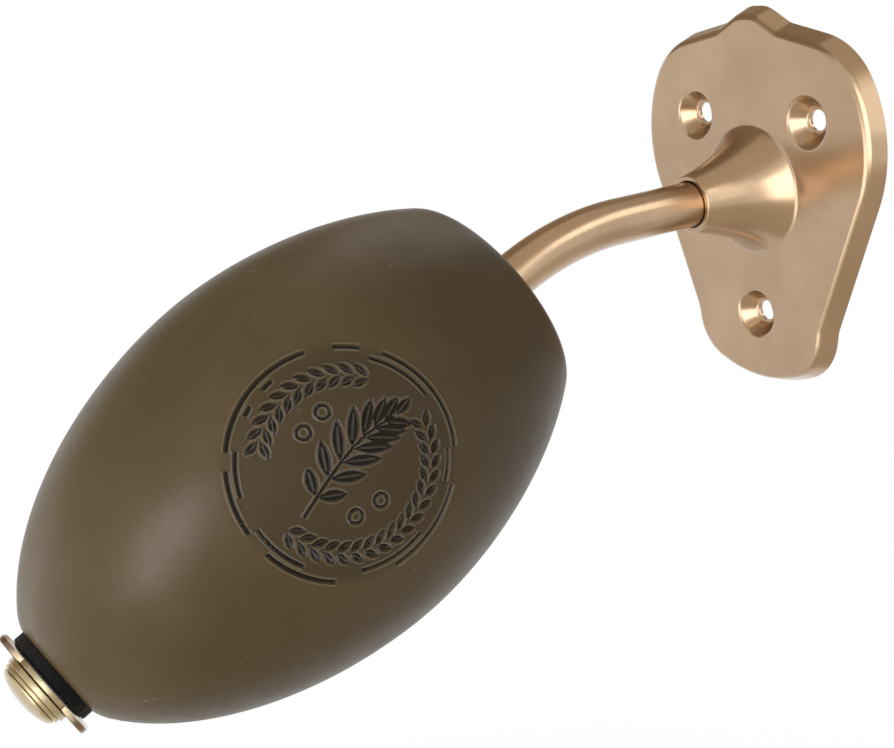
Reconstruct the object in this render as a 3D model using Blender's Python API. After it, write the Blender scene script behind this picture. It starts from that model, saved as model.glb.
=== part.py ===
"""Swivel soap holder, in metres, +Z up.

A cast wall plate carries a bent arm that turns in its trumpet. A spindle at the arm's far end carries an egg
of soap that spins freely, held on by a domed nut with two ears.

The wall is the plane y = 0 and the holder stands out of it towards -Y. The arm swivels about the Y axis.
"""

import math

import bmesh
import bpy
from mathutils import Matrix, Vector

MM = 0.001

# Clearances
GAP = 0.3 * MM              # between pieces that touch or run on each other
OVERRUN = 1.0 * MM          # a cutter runs this far past what it cuts
CHAMFER = 0.4 * MM          # on the edges of turned pieces
FINE_CHAMFER = 0.2 * MM     # on thin ones

# Facets
ROUND_SEGMENTS = 44
SMALL_SEGMENTS = 28
SEAT_SEGMENTS = 24
SOAP_SEGMENTS = 56
ARC_STEPS = 6
BEND_STEPS = 10
CURVE_STEPS = 8
BOWL_STEPS = 4
SOAP_STEPS = 20
SMOOTH_ANGLE = math.radians(32)     # flatter edges than this are shaded smooth
FILLET_ROOM_SHARE = 0.98            # of an outline's edge that its two fillets may take together

# Wall plate
PLATE_WIDTH = 63.6 * MM
PLATE_HEIGHT = 75.8 * MM
PLATE_DEPTH = 3.8 * MM      # wall to face
PLATE_DRAFT = math.radians(20)      # lean of the skirt round its edge
PLATE_EDGE = 1.7 * MM       # rounding between the skirt and the face
PLATE_WALL = 1.4 * MM
AXIS_HEIGHT_SHARE = 0.532   # of the plate's height that lies below the swivel axis

# Right half of the plate's outline, from the top down: (x, y) as shares of the half width and of the height
# above or below the axis, then the corner's fillet as a share of the half width
PLATE_OUTLINE_SHARES = (
    (0.082, 1.000, 0.22),
    (0.270, 0.910, 0.126),
    (0.807, 0.808, 0.50),
    (1.081, 0.279, 0.88),
    (0.600, -0.670, 0.157),
    (0.550, -0.888, 0.346),
    (0.000, -1.050, 0.943),
)

# Screw holes: three dished seats whose floor reaches the wall
HOLE_RADIUS = 2.05 * MM
HOLE_SPREAD = 15.6 * MM     # upper holes, out from the middle
HOLE_RISE = 14.2 * MM       # upper holes, above the axis
HOLE_DROP = 25.6 * MM       # lower hole, below the axis
SEAT_RADIUS = 4.0 * MM      # mouth of the dish
SEAT_LIP = 0.7 * MM         # rounding of the mouth
SEAT_FLOOR = 0.8 * MM       # metal left under the screw's head
SEAT_FLAT = 0.7 * MM        # width of the flat ring that the head rests on
SEAT_BOWL_SHARE = 0.6       # how squarely the dish's side meets that ring
BOSS_WALL = 1.0 * MM        # metal round the dish, on the hollow side

# Trumpet
NOSE_REACH = 20.1 * MM      # wall to the trumpet's mouth
NOSE_LIP = 0.6 * MM         # wall of the mouth
NOSE_EASE = 0.3 * MM
NOSE_SLOPE = math.radians(13)
FOOT_RADIUS = 12.2 * MM
FOOT_FILLET = 1.4 * MM
FOOT_SLOPE = math.radians(43)
SOCKET_CLEARANCE = 0.6 * MM # the open gap that shows round the arm
SOCKET_DEPTH = 8.0 * MM
WEB = 2.5 * MM              # floor of the socket
NUT_ROOM = 2.2 * MM         # free space round the pivot nut's corners

# Arm
ARM_RADIUS = 4.4 * MM
ARM_WALL = 1.0 * MM
ARM_STRAIGHT = 17.7 * MM    # mouth of the trumpet to the bend
BEND_RADIUS = 58.1 * MM
BEND_ANGLE = math.radians(25.8)
ARM_END_STRAIGHT = 6.1 * MM # bend to the soap's end face
PLUG_LENGTH = 9.0 * MM      # of the stud, inside the tube
NECK_LENGTH = 4.5 * MM      # of the spindle, inside the tube's straight end

# Swivel
STUD_RADIUS = 2.5 * MM
BUSH_WALL = 1.0 * MM
BUSH_FLANGE = 0.8 * MM
THRUST_RADIUS = 6.0 * MM
THRUST_THICKNESS = 1.0 * MM
SPRING_RADIUS = 5.4 * MM
SPRING_THICKNESS = 0.6 * MM
SPRING_DISH = 0.6 * MM
NUT_FLATS = 8.0 * MM
NUT_HEIGHT = 4.0 * MM
NUT_CHAMFER_ANGLE = math.radians(30)
STUD_BEYOND_NUT = 1.0 * MM

# Soap and spindle
SOAP_RADIUS = 33.7 * MM
SOAP_HALF_LENGTH = 56.3 * MM    # of the whole egg, before its ends are cut flat
SOAP_TO_ARM = 43.5 * MM         # widest point to the end face at the arm
SOAP_TO_NUT = 53.6 * MM         # widest point to the end face at the nut
SOAP_FULLNESS = 1.87            # 2 is an ellipse
SOAP_ARM_EDGE = 2.2 * MM
SOAP_NUT_EDGE = 1.2 * MM
SPINDLE_RADIUS = 4.0 * MM
COLLAR_RADIUS = 9.0 * MM
COLLAR_THICKNESS = 2.0 * MM
THREAD_RADIUS = 3.0 * MM

# End nut
WASHER_RADIUS = 8.0 * MM
WASHER_THICKNESS = 1.3 * MM
WING_SPAN = 20.2 * MM
WING_DISC_RADIUS = 6.0 * MM
WING_EAR_RADIUS = 3.4 * MM
WING_THICKNESS = 1.6 * MM
WING_CROWN = 0.7 * MM           # slope round the ears' soap side
WING_EDGE = 0.3 * MM
WING_TURN = math.radians(-62)   # at rest, from the X axis, about the spindle
SPIGOT_WALL = 0.9 * MM
CAP_RADIUS = 6.4 * MM
CAP_STEP = 0.75 * MM            # height of each of the two steps
CAP_STEP_IN = 0.35 * MM
CAP_GROOVE = 0.25 * MM
CAP_DOME_RADIUS = 5.7 * MM
CAP_DOME_HEIGHT = 2.0 * MM
CAP_ROOF = 1.2 * MM             # metal above the blind hole

# Finishes: base colour, roughness, metallic
AGED_BRASS = ((0.50, 0.36, 0.20), 0.34, 1.0)
GOLDEN_BRASS = ((0.62, 0.48, 0.24), 0.28, 1.0)
STEEL = ((0.62, 0.62, 0.60), 0.30, 1.0)
NYLON = ((0.03, 0.03, 0.03), 0.55, 0.0)
RUBBER = ((0.012, 0.011, 0.010), 0.65, 0.0)
SOAP = ((0.105, 0.080, 0.050), 0.42, 0.0)

# Places along the swivel axis, measured out from the wall
SOCKET_RADIUS = ARM_RADIUS + SOCKET_CLEARANCE
NOSE_RADIUS = SOCKET_RADIUS + NOSE_LIP
SOCKET_FLOOR = NOSE_REACH - SOCKET_DEPTH
WEB_BACK = SOCKET_FLOOR - WEB
BUSH_BORE = STUD_RADIUS + GAP
BUSH_RADIUS = BUSH_BORE + BUSH_WALL
FLANGE_TOP = SOCKET_FLOOR + GAP + BUSH_FLANGE
ARM_START = FLANGE_TOP + GAP
THRUST_TOP = WEB_BACK - GAP
SPRING_TOP = THRUST_TOP - THRUST_THICKNESS - GAP
NUT_TOP = SPRING_TOP - SPRING_THICKNESS - SPRING_DISH - GAP
NUT_CORNER = NUT_FLATS / 2 / math.cos(math.pi / 6)
STUD_TIP = NUT_TOP - NUT_HEIGHT - STUD_BEYOND_NUT
ARM_BORE = ARM_RADIUS - ARM_WALL
PLUG_RADIUS = ARM_BORE - GAP

# Places along the spindle, measured from the soap's end face at the arm
COLLAR_START = -GAP - COLLAR_THICKNESS
ARM_END = COLLAR_START - GAP
SOAP_LENGTH = SOAP_TO_ARM + SOAP_TO_NUT
SOAP_BORE = SPINDLE_RADIUS + GAP
WASHER_START = SOAP_LENGTH + GAP
WASHER_END = WASHER_START + WASHER_THICKNESS
WING_START = WASHER_END + GAP
WING_TOP = WING_START + WING_THICKNESS
CAP_START = WING_TOP + GAP
SPIGOT_BORE = THREAD_RADIUS + GAP
SPIGOT_RADIUS = SPIGOT_BORE + SPIGOT_WALL
CAP_HEIGHT = 2 * CAP_STEP + CAP_DOME_HEIGHT
THREAD_END = CAP_START + CAP_HEIGHT - CAP_ROOF - GAP


def clear_scene():
    for obj in list(bpy.data.objects):
        bpy.data.objects.remove(obj)


def wall_frame():
    """Local Z runs out of the wall along the swivel axis, and local Y points up."""
    return Matrix.Rotation(math.pi / 2, 4, "X")


def spindle_frame():
    """Local Z runs along the spindle from the soap's end face at the arm; local X is the world's."""
    turn = Matrix.Rotation(BEND_ANGLE, 4, "X")
    bend_start = Vector((0, 0, NOSE_REACH + ARM_STRAIGHT))
    centre = bend_start - Vector((0, BEND_RADIUS, 0))
    bend_end = centre + turn @ Vector((0, BEND_RADIUS, 0))
    face = bend_end + turn @ Vector((0, 0, ARM_END_STRAIGHT))
    return wall_frame() @ Matrix.Translation(face) @ turn


def material(name, finish):
    colour, roughness, metallic = finish
    made = bpy.data.materials.new(name)
    made.use_nodes = True
    shader = made.node_tree.nodes["Principled BSDF"]
    shader.inputs["Base Color"].default_value = (*colour, 1)
    shader.inputs["Roughness"].default_value = roughness
    shader.inputs["Metallic"].default_value = metallic
    made.diffuse_color = (*colour, 1)
    return made


def finish_mesh(name, bm, look, parent, frame):
    """Turns a bmesh into an object placed at frame under parent, with smooth round faces."""
    bmesh.ops.recalc_face_normals(bm, faces=bm.faces)
    mesh = bpy.data.meshes.new(name)
    bm.to_mesh(mesh)
    bm.free()
    mesh.shade_smooth()
    mesh.set_sharp_from_angle(angle=SMOOTH_ANGLE)
    obj = bpy.data.objects.new(name, mesh)
    bpy.context.scene.collection.objects.link(obj)
    if look:
        mesh.materials.append(material(f"{name} finish", look))
    obj.parent = parent
    obj.matrix_basis = parent.matrix_world.inverted() @ frame if parent else frame
    return obj


def joint_empty(name, parent, frame):
    empty = bpy.data.objects.new(name, None)
    bpy.context.scene.collection.objects.link(empty)
    empty.parent = parent
    empty.matrix_basis = parent.matrix_world.inverted() @ frame if parent else frame
    bpy.context.view_layer.update()
    return empty


def helper(obj):
    """Marks a cutter or guide, which isn't part of the holder."""
    obj.hide_render = True
    obj.display_type = "WIRE"
    return obj


def combine(obj, other, operation):
    step = obj.modifiers.new(other.name, "BOOLEAN")
    step.operation = operation
    step.object = helper(other)


def add_ring(bm, points):
    return [bm.verts.new(point) for point in points]


def bridge(bm, lower, upper):
    """Quads between two rings, or a fan where one of them is a single point."""
    count = max(len(lower), len(upper))
    for i in range(count):
        j = (i + 1) % count
        if len(lower) == 1:
            bm.faces.new((lower[0], upper[j], upper[i]))
        elif len(upper) == 1:
            bm.faces.new((lower[i], lower[j], upper[0]))
        else:
            bm.faces.new((lower[i], lower[j], upper[j], upper[i]))


def turned(bm, profile, segments):
    """A solid of revolution about Z, from (radius, height) pairs that close on themselves or on the axis."""
    rings = []
    for radius, height in profile:
        if radius == 0:
            rings.append(add_ring(bm, [(0, 0, height)]))
            continue
        turns = [2 * math.pi * k / segments for k in range(segments)]
        rings.append(add_ring(bm, [(radius * math.cos(t), radius * math.sin(t), height) for t in turns]))
    for lower, upper in zip(rings, rings[1:]):
        bridge(bm, lower, upper)
    if profile[0][0] > 0:
        bridge(bm, rings[-1], rings[0])
    return bm


def turned_piece(name, profile, look, parent, frame, segments=SMALL_SEGMENTS):
    return finish_mesh(name, turned(bmesh.new(), profile, segments), look, parent, frame)


def washer_profile(inner, outer, low, high, chamfer=CHAMFER):
    """A flat ring with its outer edges eased."""
    return [
        (inner, low),
        (inner, high),
        (outer - chamfer, high),
        (outer, high - chamfer),
        (outer, low + chamfer),
        (outer - chamfer, low),
    ]


def bore_profile(radius, low, high):
    """A plain cutter that runs past both faces of what it cuts."""
    return [(0, low - OVERRUN), (radius, low - OVERRUN), (radius, high + OVERRUN), (0, high + OVERRUN)]


def quadratic(start, control, end, steps):
    """Points along a quadratic curve, from start to end."""
    points = []
    for k in range(steps + 1):
        t = k / steps
        points.append(tuple(
            (1 - t) ** 2 * a + 2 * t * (1 - t) * b + t * t * c
            for a, b, c in zip(start, control, end)
        ))
    return points


def fitted_fillets(corners):
    """Fillet radii at an outline's corners, made smaller where two of them meet on one edge."""
    count = len(corners)
    slopes = []
    for i, (corner, _) in enumerate(corners):
        back = corners[i - 1][0] - corner
        ahead = corners[(i + 1) % count][0] - corner
        slopes.append(math.tan(back.angle(ahead) / 2))
    fitted = [fillet for _, fillet in corners]
    for i in range(count):
        j = (i + 1) % count
        edge = (corners[j][0] - corners[i][0]).length * FILLET_ROOM_SHARE
        used = corners[i][1] / slopes[i] + corners[j][1] / slopes[j]
        if used > edge:
            fitted[i] = min(fitted[i], corners[i][1] * edge / used)
            fitted[j] = min(fitted[j], corners[j][1] * edge / used)
    return fitted


def outline_corner(before, corner, after, radius, inset):
    """The fillet at one corner of an outline, moved inwards by inset. The outline runs clockwise."""
    back = (before - corner).normalized()
    ahead = (after - corner).normalized()
    half = back.angle(ahead) / 2
    convex = back.x * ahead.y - back.y * ahead.x > 0
    centre = corner + (back + ahead).normalized() * radius / math.sin(half)
    first = corner + back * radius / math.tan(half) - centre
    sweep = math.pi - 2 * half
    turn = -sweep if convex else sweep
    size = radius - inset if convex else radius + inset
    points = []
    for k in range(ARC_STEPS + 1):
        arm = first.copy()
        arm.rotate(Matrix.Rotation(turn * k / ARC_STEPS, 2))
        points.append(centre + arm * size / radius)
    return points


def plate_outline(inset):
    """The plate's outline in its own plane, with the swivel axis at the origin."""
    half_width = PLATE_WIDTH / 2
    above = PLATE_HEIGHT * (1 - AXIS_HEIGHT_SHARE)
    below = PLATE_HEIGHT * AXIS_HEIGHT_SHARE
    right = []
    for x_share, y_share, fillet_share in PLATE_OUTLINE_SHARES:
        place = Vector((x_share * half_width, y_share * (above if y_share > 0 else below)))
        right.append((place, fillet_share * half_width))
    left = [(Vector((-place.x, place.y)), fillet) for place, fillet in reversed(right) if place.x > 0]
    corners = right + left
    points = []
    for i, fillet in enumerate(fitted_fillets(corners)):
        after = corners[(i + 1) % len(corners)][0]
        points += outline_corner(corners[i - 1][0], corners[i][0], after, fillet, inset)
    return points


def prism(bm, sections):
    """A solid with flat ends, through a list of (points, height) outlines that have one point count."""
    rings = [add_ring(bm, [(p.x, p.y, height) for p in points]) for points, height in sections]
    bm.faces.new(rings[0])
    for lower, upper in zip(rings, rings[1:]):
        bridge(bm, lower, upper)
    bm.faces.new(rings[-1])
    return bm


def trumpet_profile():
    """The trumpet's outside, from its foot on the plate's face to its mouth."""
    turn = math.pi / 2 - FOOT_SLOPE
    fillet_centre = FOOT_RADIUS + FOOT_FILLET * math.sin(turn)
    foot = []
    for k in range(ARC_STEPS):
        t = turn * k / (ARC_STEPS - 1)
        height = PLATE_DEPTH + FOOT_FILLET * (1 - math.cos(t))
        foot.append((fillet_centre - FOOT_FILLET * math.sin(t), height))
    start = foot[-1]
    end = (NOSE_RADIUS, NOSE_REACH - NOSE_EASE)
    drop = end[1] - start[1]
    lean = start[0] - end[0] - drop * math.tan(NOSE_SLOPE)
    rise = lean / (math.tan(FOOT_SLOPE) - math.tan(NOSE_SLOPE))
    control = (start[0] - rise * math.tan(FOOT_SLOPE), start[1] + rise)
    return foot + quadratic(start, control, end, CURVE_STEPS)[1:]


def seat_profile():
    """A dished screw seat with its through hole, from above the face down past the wall."""
    face = PLATE_DEPTH
    floor = SEAT_FLOOR
    lip = []
    for k in range(ARC_STEPS // 2 + 1):
        t = math.pi / 2 * k / (ARC_STEPS // 2)
        lip.append((SEAT_RADIUS + SEAT_LIP * (1 - math.sin(t)), face - SEAT_LIP * (1 - math.cos(t))))
    flat_edge = HOLE_RADIUS + SEAT_FLAT
    control = (flat_edge + (SEAT_RADIUS - flat_edge) * SEAT_BOWL_SHARE, floor)
    bowl = quadratic(lip[-1], control, (flat_edge, floor), BOWL_STEPS)[1:]
    above = [(0, face + OVERRUN), (lip[0][0], face + OVERRUN)]
    return above + lip + bowl + [(HOLE_RADIUS, floor), (HOLE_RADIUS, -OVERRUN), (0, -OVERRUN)]


def hole_places():
    right = Vector((HOLE_SPREAD, HOLE_RISE, 0))
    left = Vector((-HOLE_SPREAD, HOLE_RISE, 0))
    return right, left, Vector((0, -HOLE_DROP, 0))


def hollow_cutter(frame):
    """The space behind the plate's face, less the bosses that stand round the screw seats."""
    ceiling = PLATE_DEPTH - PLATE_WALL
    sections = [
        (plate_outline(PLATE_WALL + height * math.tan(PLATE_DRAFT)), height)
        for height in (-OVERRUN, ceiling)
    ]
    hollow = finish_mesh("hollow", prism(bmesh.new(), sections), None, None, frame)
    boss_radius = SEAT_RADIUS + BOSS_WALL
    low = -2 * OVERRUN
    high = ceiling + OVERRUN
    profile = [(0, low), (boss_radius, low), (boss_radius, high), (0, high)]
    for number, place in enumerate(hole_places(), 1):
        at_place = frame @ Matrix.Translation(place)
        boss = turned_piece(f"boss_{number}", profile, None, None, at_place, SEAT_SEGMENTS)
        combine(hollow, boss, "DIFFERENCE")
    return hollow


def plate_rim():
    """The plate's outlines from the wall up: the leaning skirt, then the rounding on to the face."""
    centre_height = PLATE_DEPTH - PLATE_EDGE
    skirt_top = centre_height + PLATE_EDGE * math.sin(PLATE_DRAFT)
    centre_inset = skirt_top * math.tan(PLATE_DRAFT) + PLATE_EDGE * math.cos(PLATE_DRAFT)
    sections = [(plate_outline(0), 0)]
    for k in range(ARC_STEPS):
        t = PLATE_DRAFT + (math.pi / 2 - PLATE_DRAFT) * k / (ARC_STEPS - 1)
        outline = plate_outline(centre_inset - PLATE_EDGE * math.cos(t))
        sections.append((outline, centre_height + PLATE_EDGE * math.sin(t)))
    return sections


def wall_plate(look, frame):
    """The cast plate: rimmed shield, trumpet, socket and web, hollow back, and three dished screw seats."""
    plate = finish_mesh("wall_plate", prism(bmesh.new(), plate_rim()), look, None, frame)

    root = PLATE_DEPTH - PLATE_WALL / 2
    flare = trumpet_profile()
    mouth = [(NOSE_RADIUS - NOSE_EASE, NOSE_REACH), (0, NOSE_REACH)]
    solid = [(0, root), (flare[0][0], root)] + flare + mouth
    combine(plate, turned_piece("trumpet", solid, None, None, frame, ROUND_SEGMENTS), "UNION")

    combine(plate, hollow_cutter(frame), "DIFFERENCE")
    room = NUT_CORNER + NUT_ROOM
    mouth_room = FOOT_RADIUS - PLATE_WALL
    rear = [
        (0, -OVERRUN),
        (mouth_room, -OVERRUN),
        (mouth_room, PLATE_DEPTH - PLATE_WALL),
        (room, WEB_BACK),
        (0, WEB_BACK),
    ]
    combine(plate, turned_piece("rear_room", rear, None, None, frame, ROUND_SEGMENTS), "DIFFERENCE")

    bush_hole = BUSH_RADIUS + GAP
    socket = [
        (0, WEB_BACK - OVERRUN),
        (bush_hole, WEB_BACK - OVERRUN),
        (bush_hole, SOCKET_FLOOR),
        (SOCKET_RADIUS, SOCKET_FLOOR),
        (SOCKET_RADIUS, NOSE_REACH + OVERRUN),
        (0, NOSE_REACH + OVERRUN),
    ]
    combine(plate, turned_piece("socket", socket, None, None, frame, ROUND_SEGMENTS), "DIFFERENCE")

    for number, place in enumerate(hole_places(), 1):
        at_place = frame @ Matrix.Translation(place)
        seat = turned_piece(f"seat_{number}", seat_profile(), None, None, at_place, SEAT_SEGMENTS)
        combine(plate, seat, "DIFFERENCE")
    return plate


def pivot_bush(look, frame):
    low = WEB_BACK
    flange = SOCKET_RADIUS - GAP
    profile = [
        (BUSH_BORE, low),
        (BUSH_BORE, FLANGE_TOP),
        (flange, FLANGE_TOP),
        (flange, SOCKET_FLOOR + GAP),
        (BUSH_RADIUS, SOCKET_FLOOR + GAP),
        (BUSH_RADIUS, low),
    ]
    return turned_piece("pivot_bush", profile, look, None, frame)


def arm_stud(look, parent, frame):
    plug_end = ARM_START + PLUG_LENGTH
    profile = [
        (0, STUD_TIP),
        (STUD_RADIUS - CHAMFER, STUD_TIP),
        (STUD_RADIUS, STUD_TIP + CHAMFER),
        (STUD_RADIUS, ARM_START),
        (PLUG_RADIUS, ARM_START),
        (PLUG_RADIUS, plug_end - CHAMFER),
        (PLUG_RADIUS - CHAMFER, plug_end),
        (0, plug_end),
    ]
    return turned_piece("arm_stud", profile, look, parent, frame)


def thrust_washer(look, parent, frame):
    profile = washer_profile(STUD_RADIUS + GAP, THRUST_RADIUS, THRUST_TOP - THRUST_THICKNESS, THRUST_TOP)
    return turned_piece("thrust_washer", profile, look, parent, frame)


def spring_washer(look, parent, frame):
    """A dished washer: its rim presses on the thrust washer and its middle on the nut."""
    inner = STUD_RADIUS + GAP
    rim_low = SPRING_TOP - SPRING_THICKNESS
    profile = [
        (inner, rim_low - SPRING_DISH),
        (inner, SPRING_TOP - SPRING_DISH),
        (SPRING_RADIUS, SPRING_TOP),
        (SPRING_RADIUS, rim_low),
    ]
    return turned_piece("spring_washer", profile, look, parent, frame)


def pivot_nut(look, parent, frame):
    """A hexagon nut, chamfered at both faces."""
    low = NUT_TOP - NUT_HEIGHT
    turns = [k * math.pi / 3 for k in range(6)]
    corners = [Vector((NUT_CORNER * math.cos(t), NUT_CORNER * math.sin(t))) for t in turns]
    blank = prism(bmesh.new(), [(corners, low), (corners, NUT_TOP)])
    nut = finish_mesh("pivot_nut", blank, look, parent, frame)
    face = NUT_FLATS / 2
    drop = (NUT_CORNER + OVERRUN - face) * math.tan(NUT_CHAMFER_ANGLE)
    barrel = [
        (0, low),
        (face, low),
        (NUT_CORNER + OVERRUN, low + drop),
        (NUT_CORNER + OVERRUN, NUT_TOP - drop),
        (face, NUT_TOP),
        (0, NUT_TOP),
    ]
    combine(nut, turned_piece("nut_barrel", barrel, None, None, frame), "INTERSECT")
    bore = STUD_RADIUS + GAP
    hole = bore_profile(bore, low, NUT_TOP)
    combine(nut, turned_piece("nut_hole", hole, None, None, frame), "DIFFERENCE")
    return nut


def arm_sections():
    """Places along the arm's centre line, each a matrix whose Z runs along the arm."""
    sections = [Matrix.Translation((0, 0, ARM_START))]
    bend_start = Matrix.Translation((0, 0, NOSE_REACH + ARM_STRAIGHT))
    centre = Matrix.Translation((0, -BEND_RADIUS, 0))
    for k in range(BEND_STEPS + 1):
        turn = Matrix.Rotation(BEND_ANGLE * k / BEND_STEPS, 4, "X")
        sections.append(bend_start @ centre @ turn @ centre.inverted())
    sections.append(sections[-1] @ Matrix.Translation((0, 0, ARM_END_STRAIGHT + ARM_END)))
    return sections


def arm_tube(look, parent, frame):
    """The bent tube: outer and inner rings swept along the centre line and joined at both ends."""
    bm = bmesh.new()
    sections = arm_sections()
    turns = [2 * math.pi * k / SMALL_SEGMENTS for k in range(SMALL_SEGMENTS)]
    walls = []
    for radius in (ARM_RADIUS, ARM_BORE):
        circle = [Vector((radius * math.cos(t), radius * math.sin(t), 0)) for t in turns]
        rings = [add_ring(bm, [section @ point for point in circle]) for section in sections]
        for lower, upper in zip(rings, rings[1:]):
            bridge(bm, lower, upper)
        walls.append(rings)
    outer, inner = walls
    bridge(bm, outer[0], inner[0])
    bridge(bm, outer[-1], inner[-1])
    return finish_mesh("arm_tube", bm, look, parent, frame)


def stop_collar(look, parent, frame):
    high = COLLAR_START + COLLAR_THICKNESS
    profile = washer_profile(PLUG_RADIUS + GAP, COLLAR_RADIUS, COLLAR_START, high)
    return turned_piece("stop_collar", profile, look, parent, frame, ROUND_SEGMENTS)


def spindle(look, parent, frame):
    """The rod: a neck in the collar and the arm, the bearing length in the soap, and the threaded end."""
    neck_end = ARM_END - NECK_LENGTH
    profile = [
        (0, neck_end),
        (PLUG_RADIUS - CHAMFER, neck_end),
        (PLUG_RADIUS, neck_end + CHAMFER),
        (PLUG_RADIUS, 0),
        (SPINDLE_RADIUS, 0),
        (SPINDLE_RADIUS, SOAP_LENGTH),
        (THREAD_RADIUS, SOAP_LENGTH),
        (THREAD_RADIUS, THREAD_END - CHAMFER),
        (THREAD_RADIUS - CHAMFER, THREAD_END),
        (0, THREAD_END),
    ]
    return turned_piece("spindle", profile, look, parent, frame)


def soap_radius_at(offset):
    """The egg's radius at a distance from its widest point."""
    reach = abs(offset) / SOAP_HALF_LENGTH
    return SOAP_RADIUS * (1 - reach ** SOAP_FULLNESS) ** (1 / SOAP_FULLNESS)


def soap_profile():
    """The egg between its two flat ends, with eased edges, and its bore."""
    flat_arm = soap_radius_at(SOAP_TO_ARM)
    flat_nut = soap_radius_at(SOAP_TO_NUT)
    first = SOAP_ARM_EDGE
    last = SOAP_LENGTH - SOAP_NUT_EDGE
    egg = []
    for k in range(SOAP_STEPS + 1):
        sweep = math.pi * k / SOAP_STEPS
        height = first + (last - first) * (1 - math.cos(sweep)) / 2
        egg.append((soap_radius_at(height - SOAP_TO_ARM), height))
    arm_edge = quadratic((flat_arm - SOAP_ARM_EDGE, 0), (flat_arm, 0), egg[0], ARC_STEPS // 2)
    end_rim = (flat_nut - SOAP_NUT_EDGE, SOAP_LENGTH)
    nut_edge = quadratic(egg[-1], (flat_nut, SOAP_LENGTH), end_rim, ARC_STEPS // 2)
    return arm_edge[:-1] + egg + nut_edge[1:] + [(SOAP_BORE, SOAP_LENGTH), (SOAP_BORE, 0)]


def end_washer(look, parent, frame):
    """The rubber washer between the eared plate and the soap's end."""
    profile = washer_profile(SPIGOT_BORE, WASHER_RADIUS, WASHER_START, WASHER_END, FINE_CHAMFER)
    return turned_piece("end_washer", profile, look, parent, frame)


def wing_outline(inset):
    """A disc with a round-ended ear on each side, all moved inwards by inset."""
    disc = WING_DISC_RADIUS - inset
    ear = WING_EAR_RADIUS - inset
    shoulder = math.asin(ear / disc)
    ear_centre = WING_SPAN / 2 - WING_EAR_RADIUS
    points = []
    for side in (0, math.pi):
        for k in range(2 * ARC_STEPS + 1):
            t = side - math.pi / 2 + math.pi * k / (2 * ARC_STEPS)
            points.append(Vector((ear_centre * math.cos(side) + ear * math.cos(t), ear * math.sin(t))))
        for k in range(2 * ARC_STEPS + 1):
            t = side + shoulder + (math.pi - 2 * shoulder) * k / (2 * ARC_STEPS)
            points.append(Vector((disc * math.cos(t), disc * math.sin(t))))
    return points


def wing_plate(look, parent, frame):
    """The eared plate, sloped off round the soap's side."""
    sections = [
        (wing_outline(WING_CROWN), WING_START),
        (wing_outline(0), WING_START + WING_CROWN),
        (wing_outline(0), WING_TOP - WING_EDGE),
        (wing_outline(WING_EDGE), WING_TOP),
    ]
    turned_frame = frame @ Matrix.Rotation(WING_TURN, 4, "Z")
    plate = finish_mesh("wing_plate", prism(bmesh.new(), sections), look, parent, turned_frame)
    hole = bore_profile(SPIGOT_RADIUS + GAP, WING_START, WING_TOP)
    combine(plate, turned_piece("wing_hole", hole, None, None, frame), "DIFFERENCE")
    return plate


def cap_nut(look, parent, frame):
    """Spigot through the eared plate, two steps, and a dome over a blind threaded hole."""
    step_top = CAP_START + CAP_STEP
    dome_base = step_top + CAP_STEP
    second = CAP_RADIUS - CAP_STEP_IN
    ease = FINE_CHAMFER
    outside = [
        (SPIGOT_RADIUS, WING_START),
        (SPIGOT_RADIUS, CAP_START),
        (CAP_RADIUS - ease, CAP_START),
        (CAP_RADIUS, CAP_START + ease),
        (CAP_RADIUS, step_top - ease),
        (CAP_RADIUS - ease, step_top),
        (second - CAP_GROOVE, step_top),
        (second, step_top + ease),
        (second, dome_base - ease),
        (second - ease, dome_base),
        (CAP_DOME_RADIUS - CAP_GROOVE, dome_base),
    ]
    dome = []
    for k in range(CURVE_STEPS + 1):
        t = math.pi / 2 * k / CURVE_STEPS
        height = dome_base + ease + (CAP_DOME_HEIGHT - ease) * math.sin(t)
        dome.append((CAP_DOME_RADIUS * math.cos(t), height))
    dome[-1] = (0, CAP_START + CAP_HEIGHT)
    blind_end = CAP_START + CAP_HEIGHT - CAP_ROOF
    blind = [(0, blind_end), (SPIGOT_BORE, blind_end), (SPIGOT_BORE, WING_START)]
    return turned_piece("cap_nut", blind + outside + dome, look, parent, frame)


def build():
    clear_scene()
    wall = wall_frame()
    along = spindle_frame()
    wall_plate(AGED_BRASS, wall)
    pivot_bush(NYLON, wall)

    arm_pivot = joint_empty("arm_pivot", None, wall)
    arm_stud(AGED_BRASS, arm_pivot, wall)
    thrust_washer(STEEL, arm_pivot, wall)
    spring_washer(STEEL, arm_pivot, wall)
    pivot_nut(STEEL, arm_pivot, wall)
    arm_tube(AGED_BRASS, arm_pivot, wall)
    stop_collar(AGED_BRASS, arm_pivot, along)
    spindle(AGED_BRASS, arm_pivot, along)

    soap_axis = joint_empty("soap_axis", arm_pivot, along)
    turned_piece("soap_bar", soap_profile(), SOAP, soap_axis, along, SOAP_SEGMENTS)

    nut_axis = joint_empty("nut_axis", arm_pivot, along)
    end_washer(RUBBER, nut_axis, along)
    wing_plate(GOLDEN_BRASS, nut_axis, along)
    cap_nut(GOLDEN_BRASS, nut_axis, along)


build()
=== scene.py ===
"""The looks of the swivel soap holder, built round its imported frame: fine meshes, finishes, light and camera.

Metres, +Z up. The wall is the plane y = 0 and the holder stands out of it towards -Y.
"""

import math

import bmesh
import bpy
import numpy as np
from mathutils import Matrix, Vector


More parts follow.
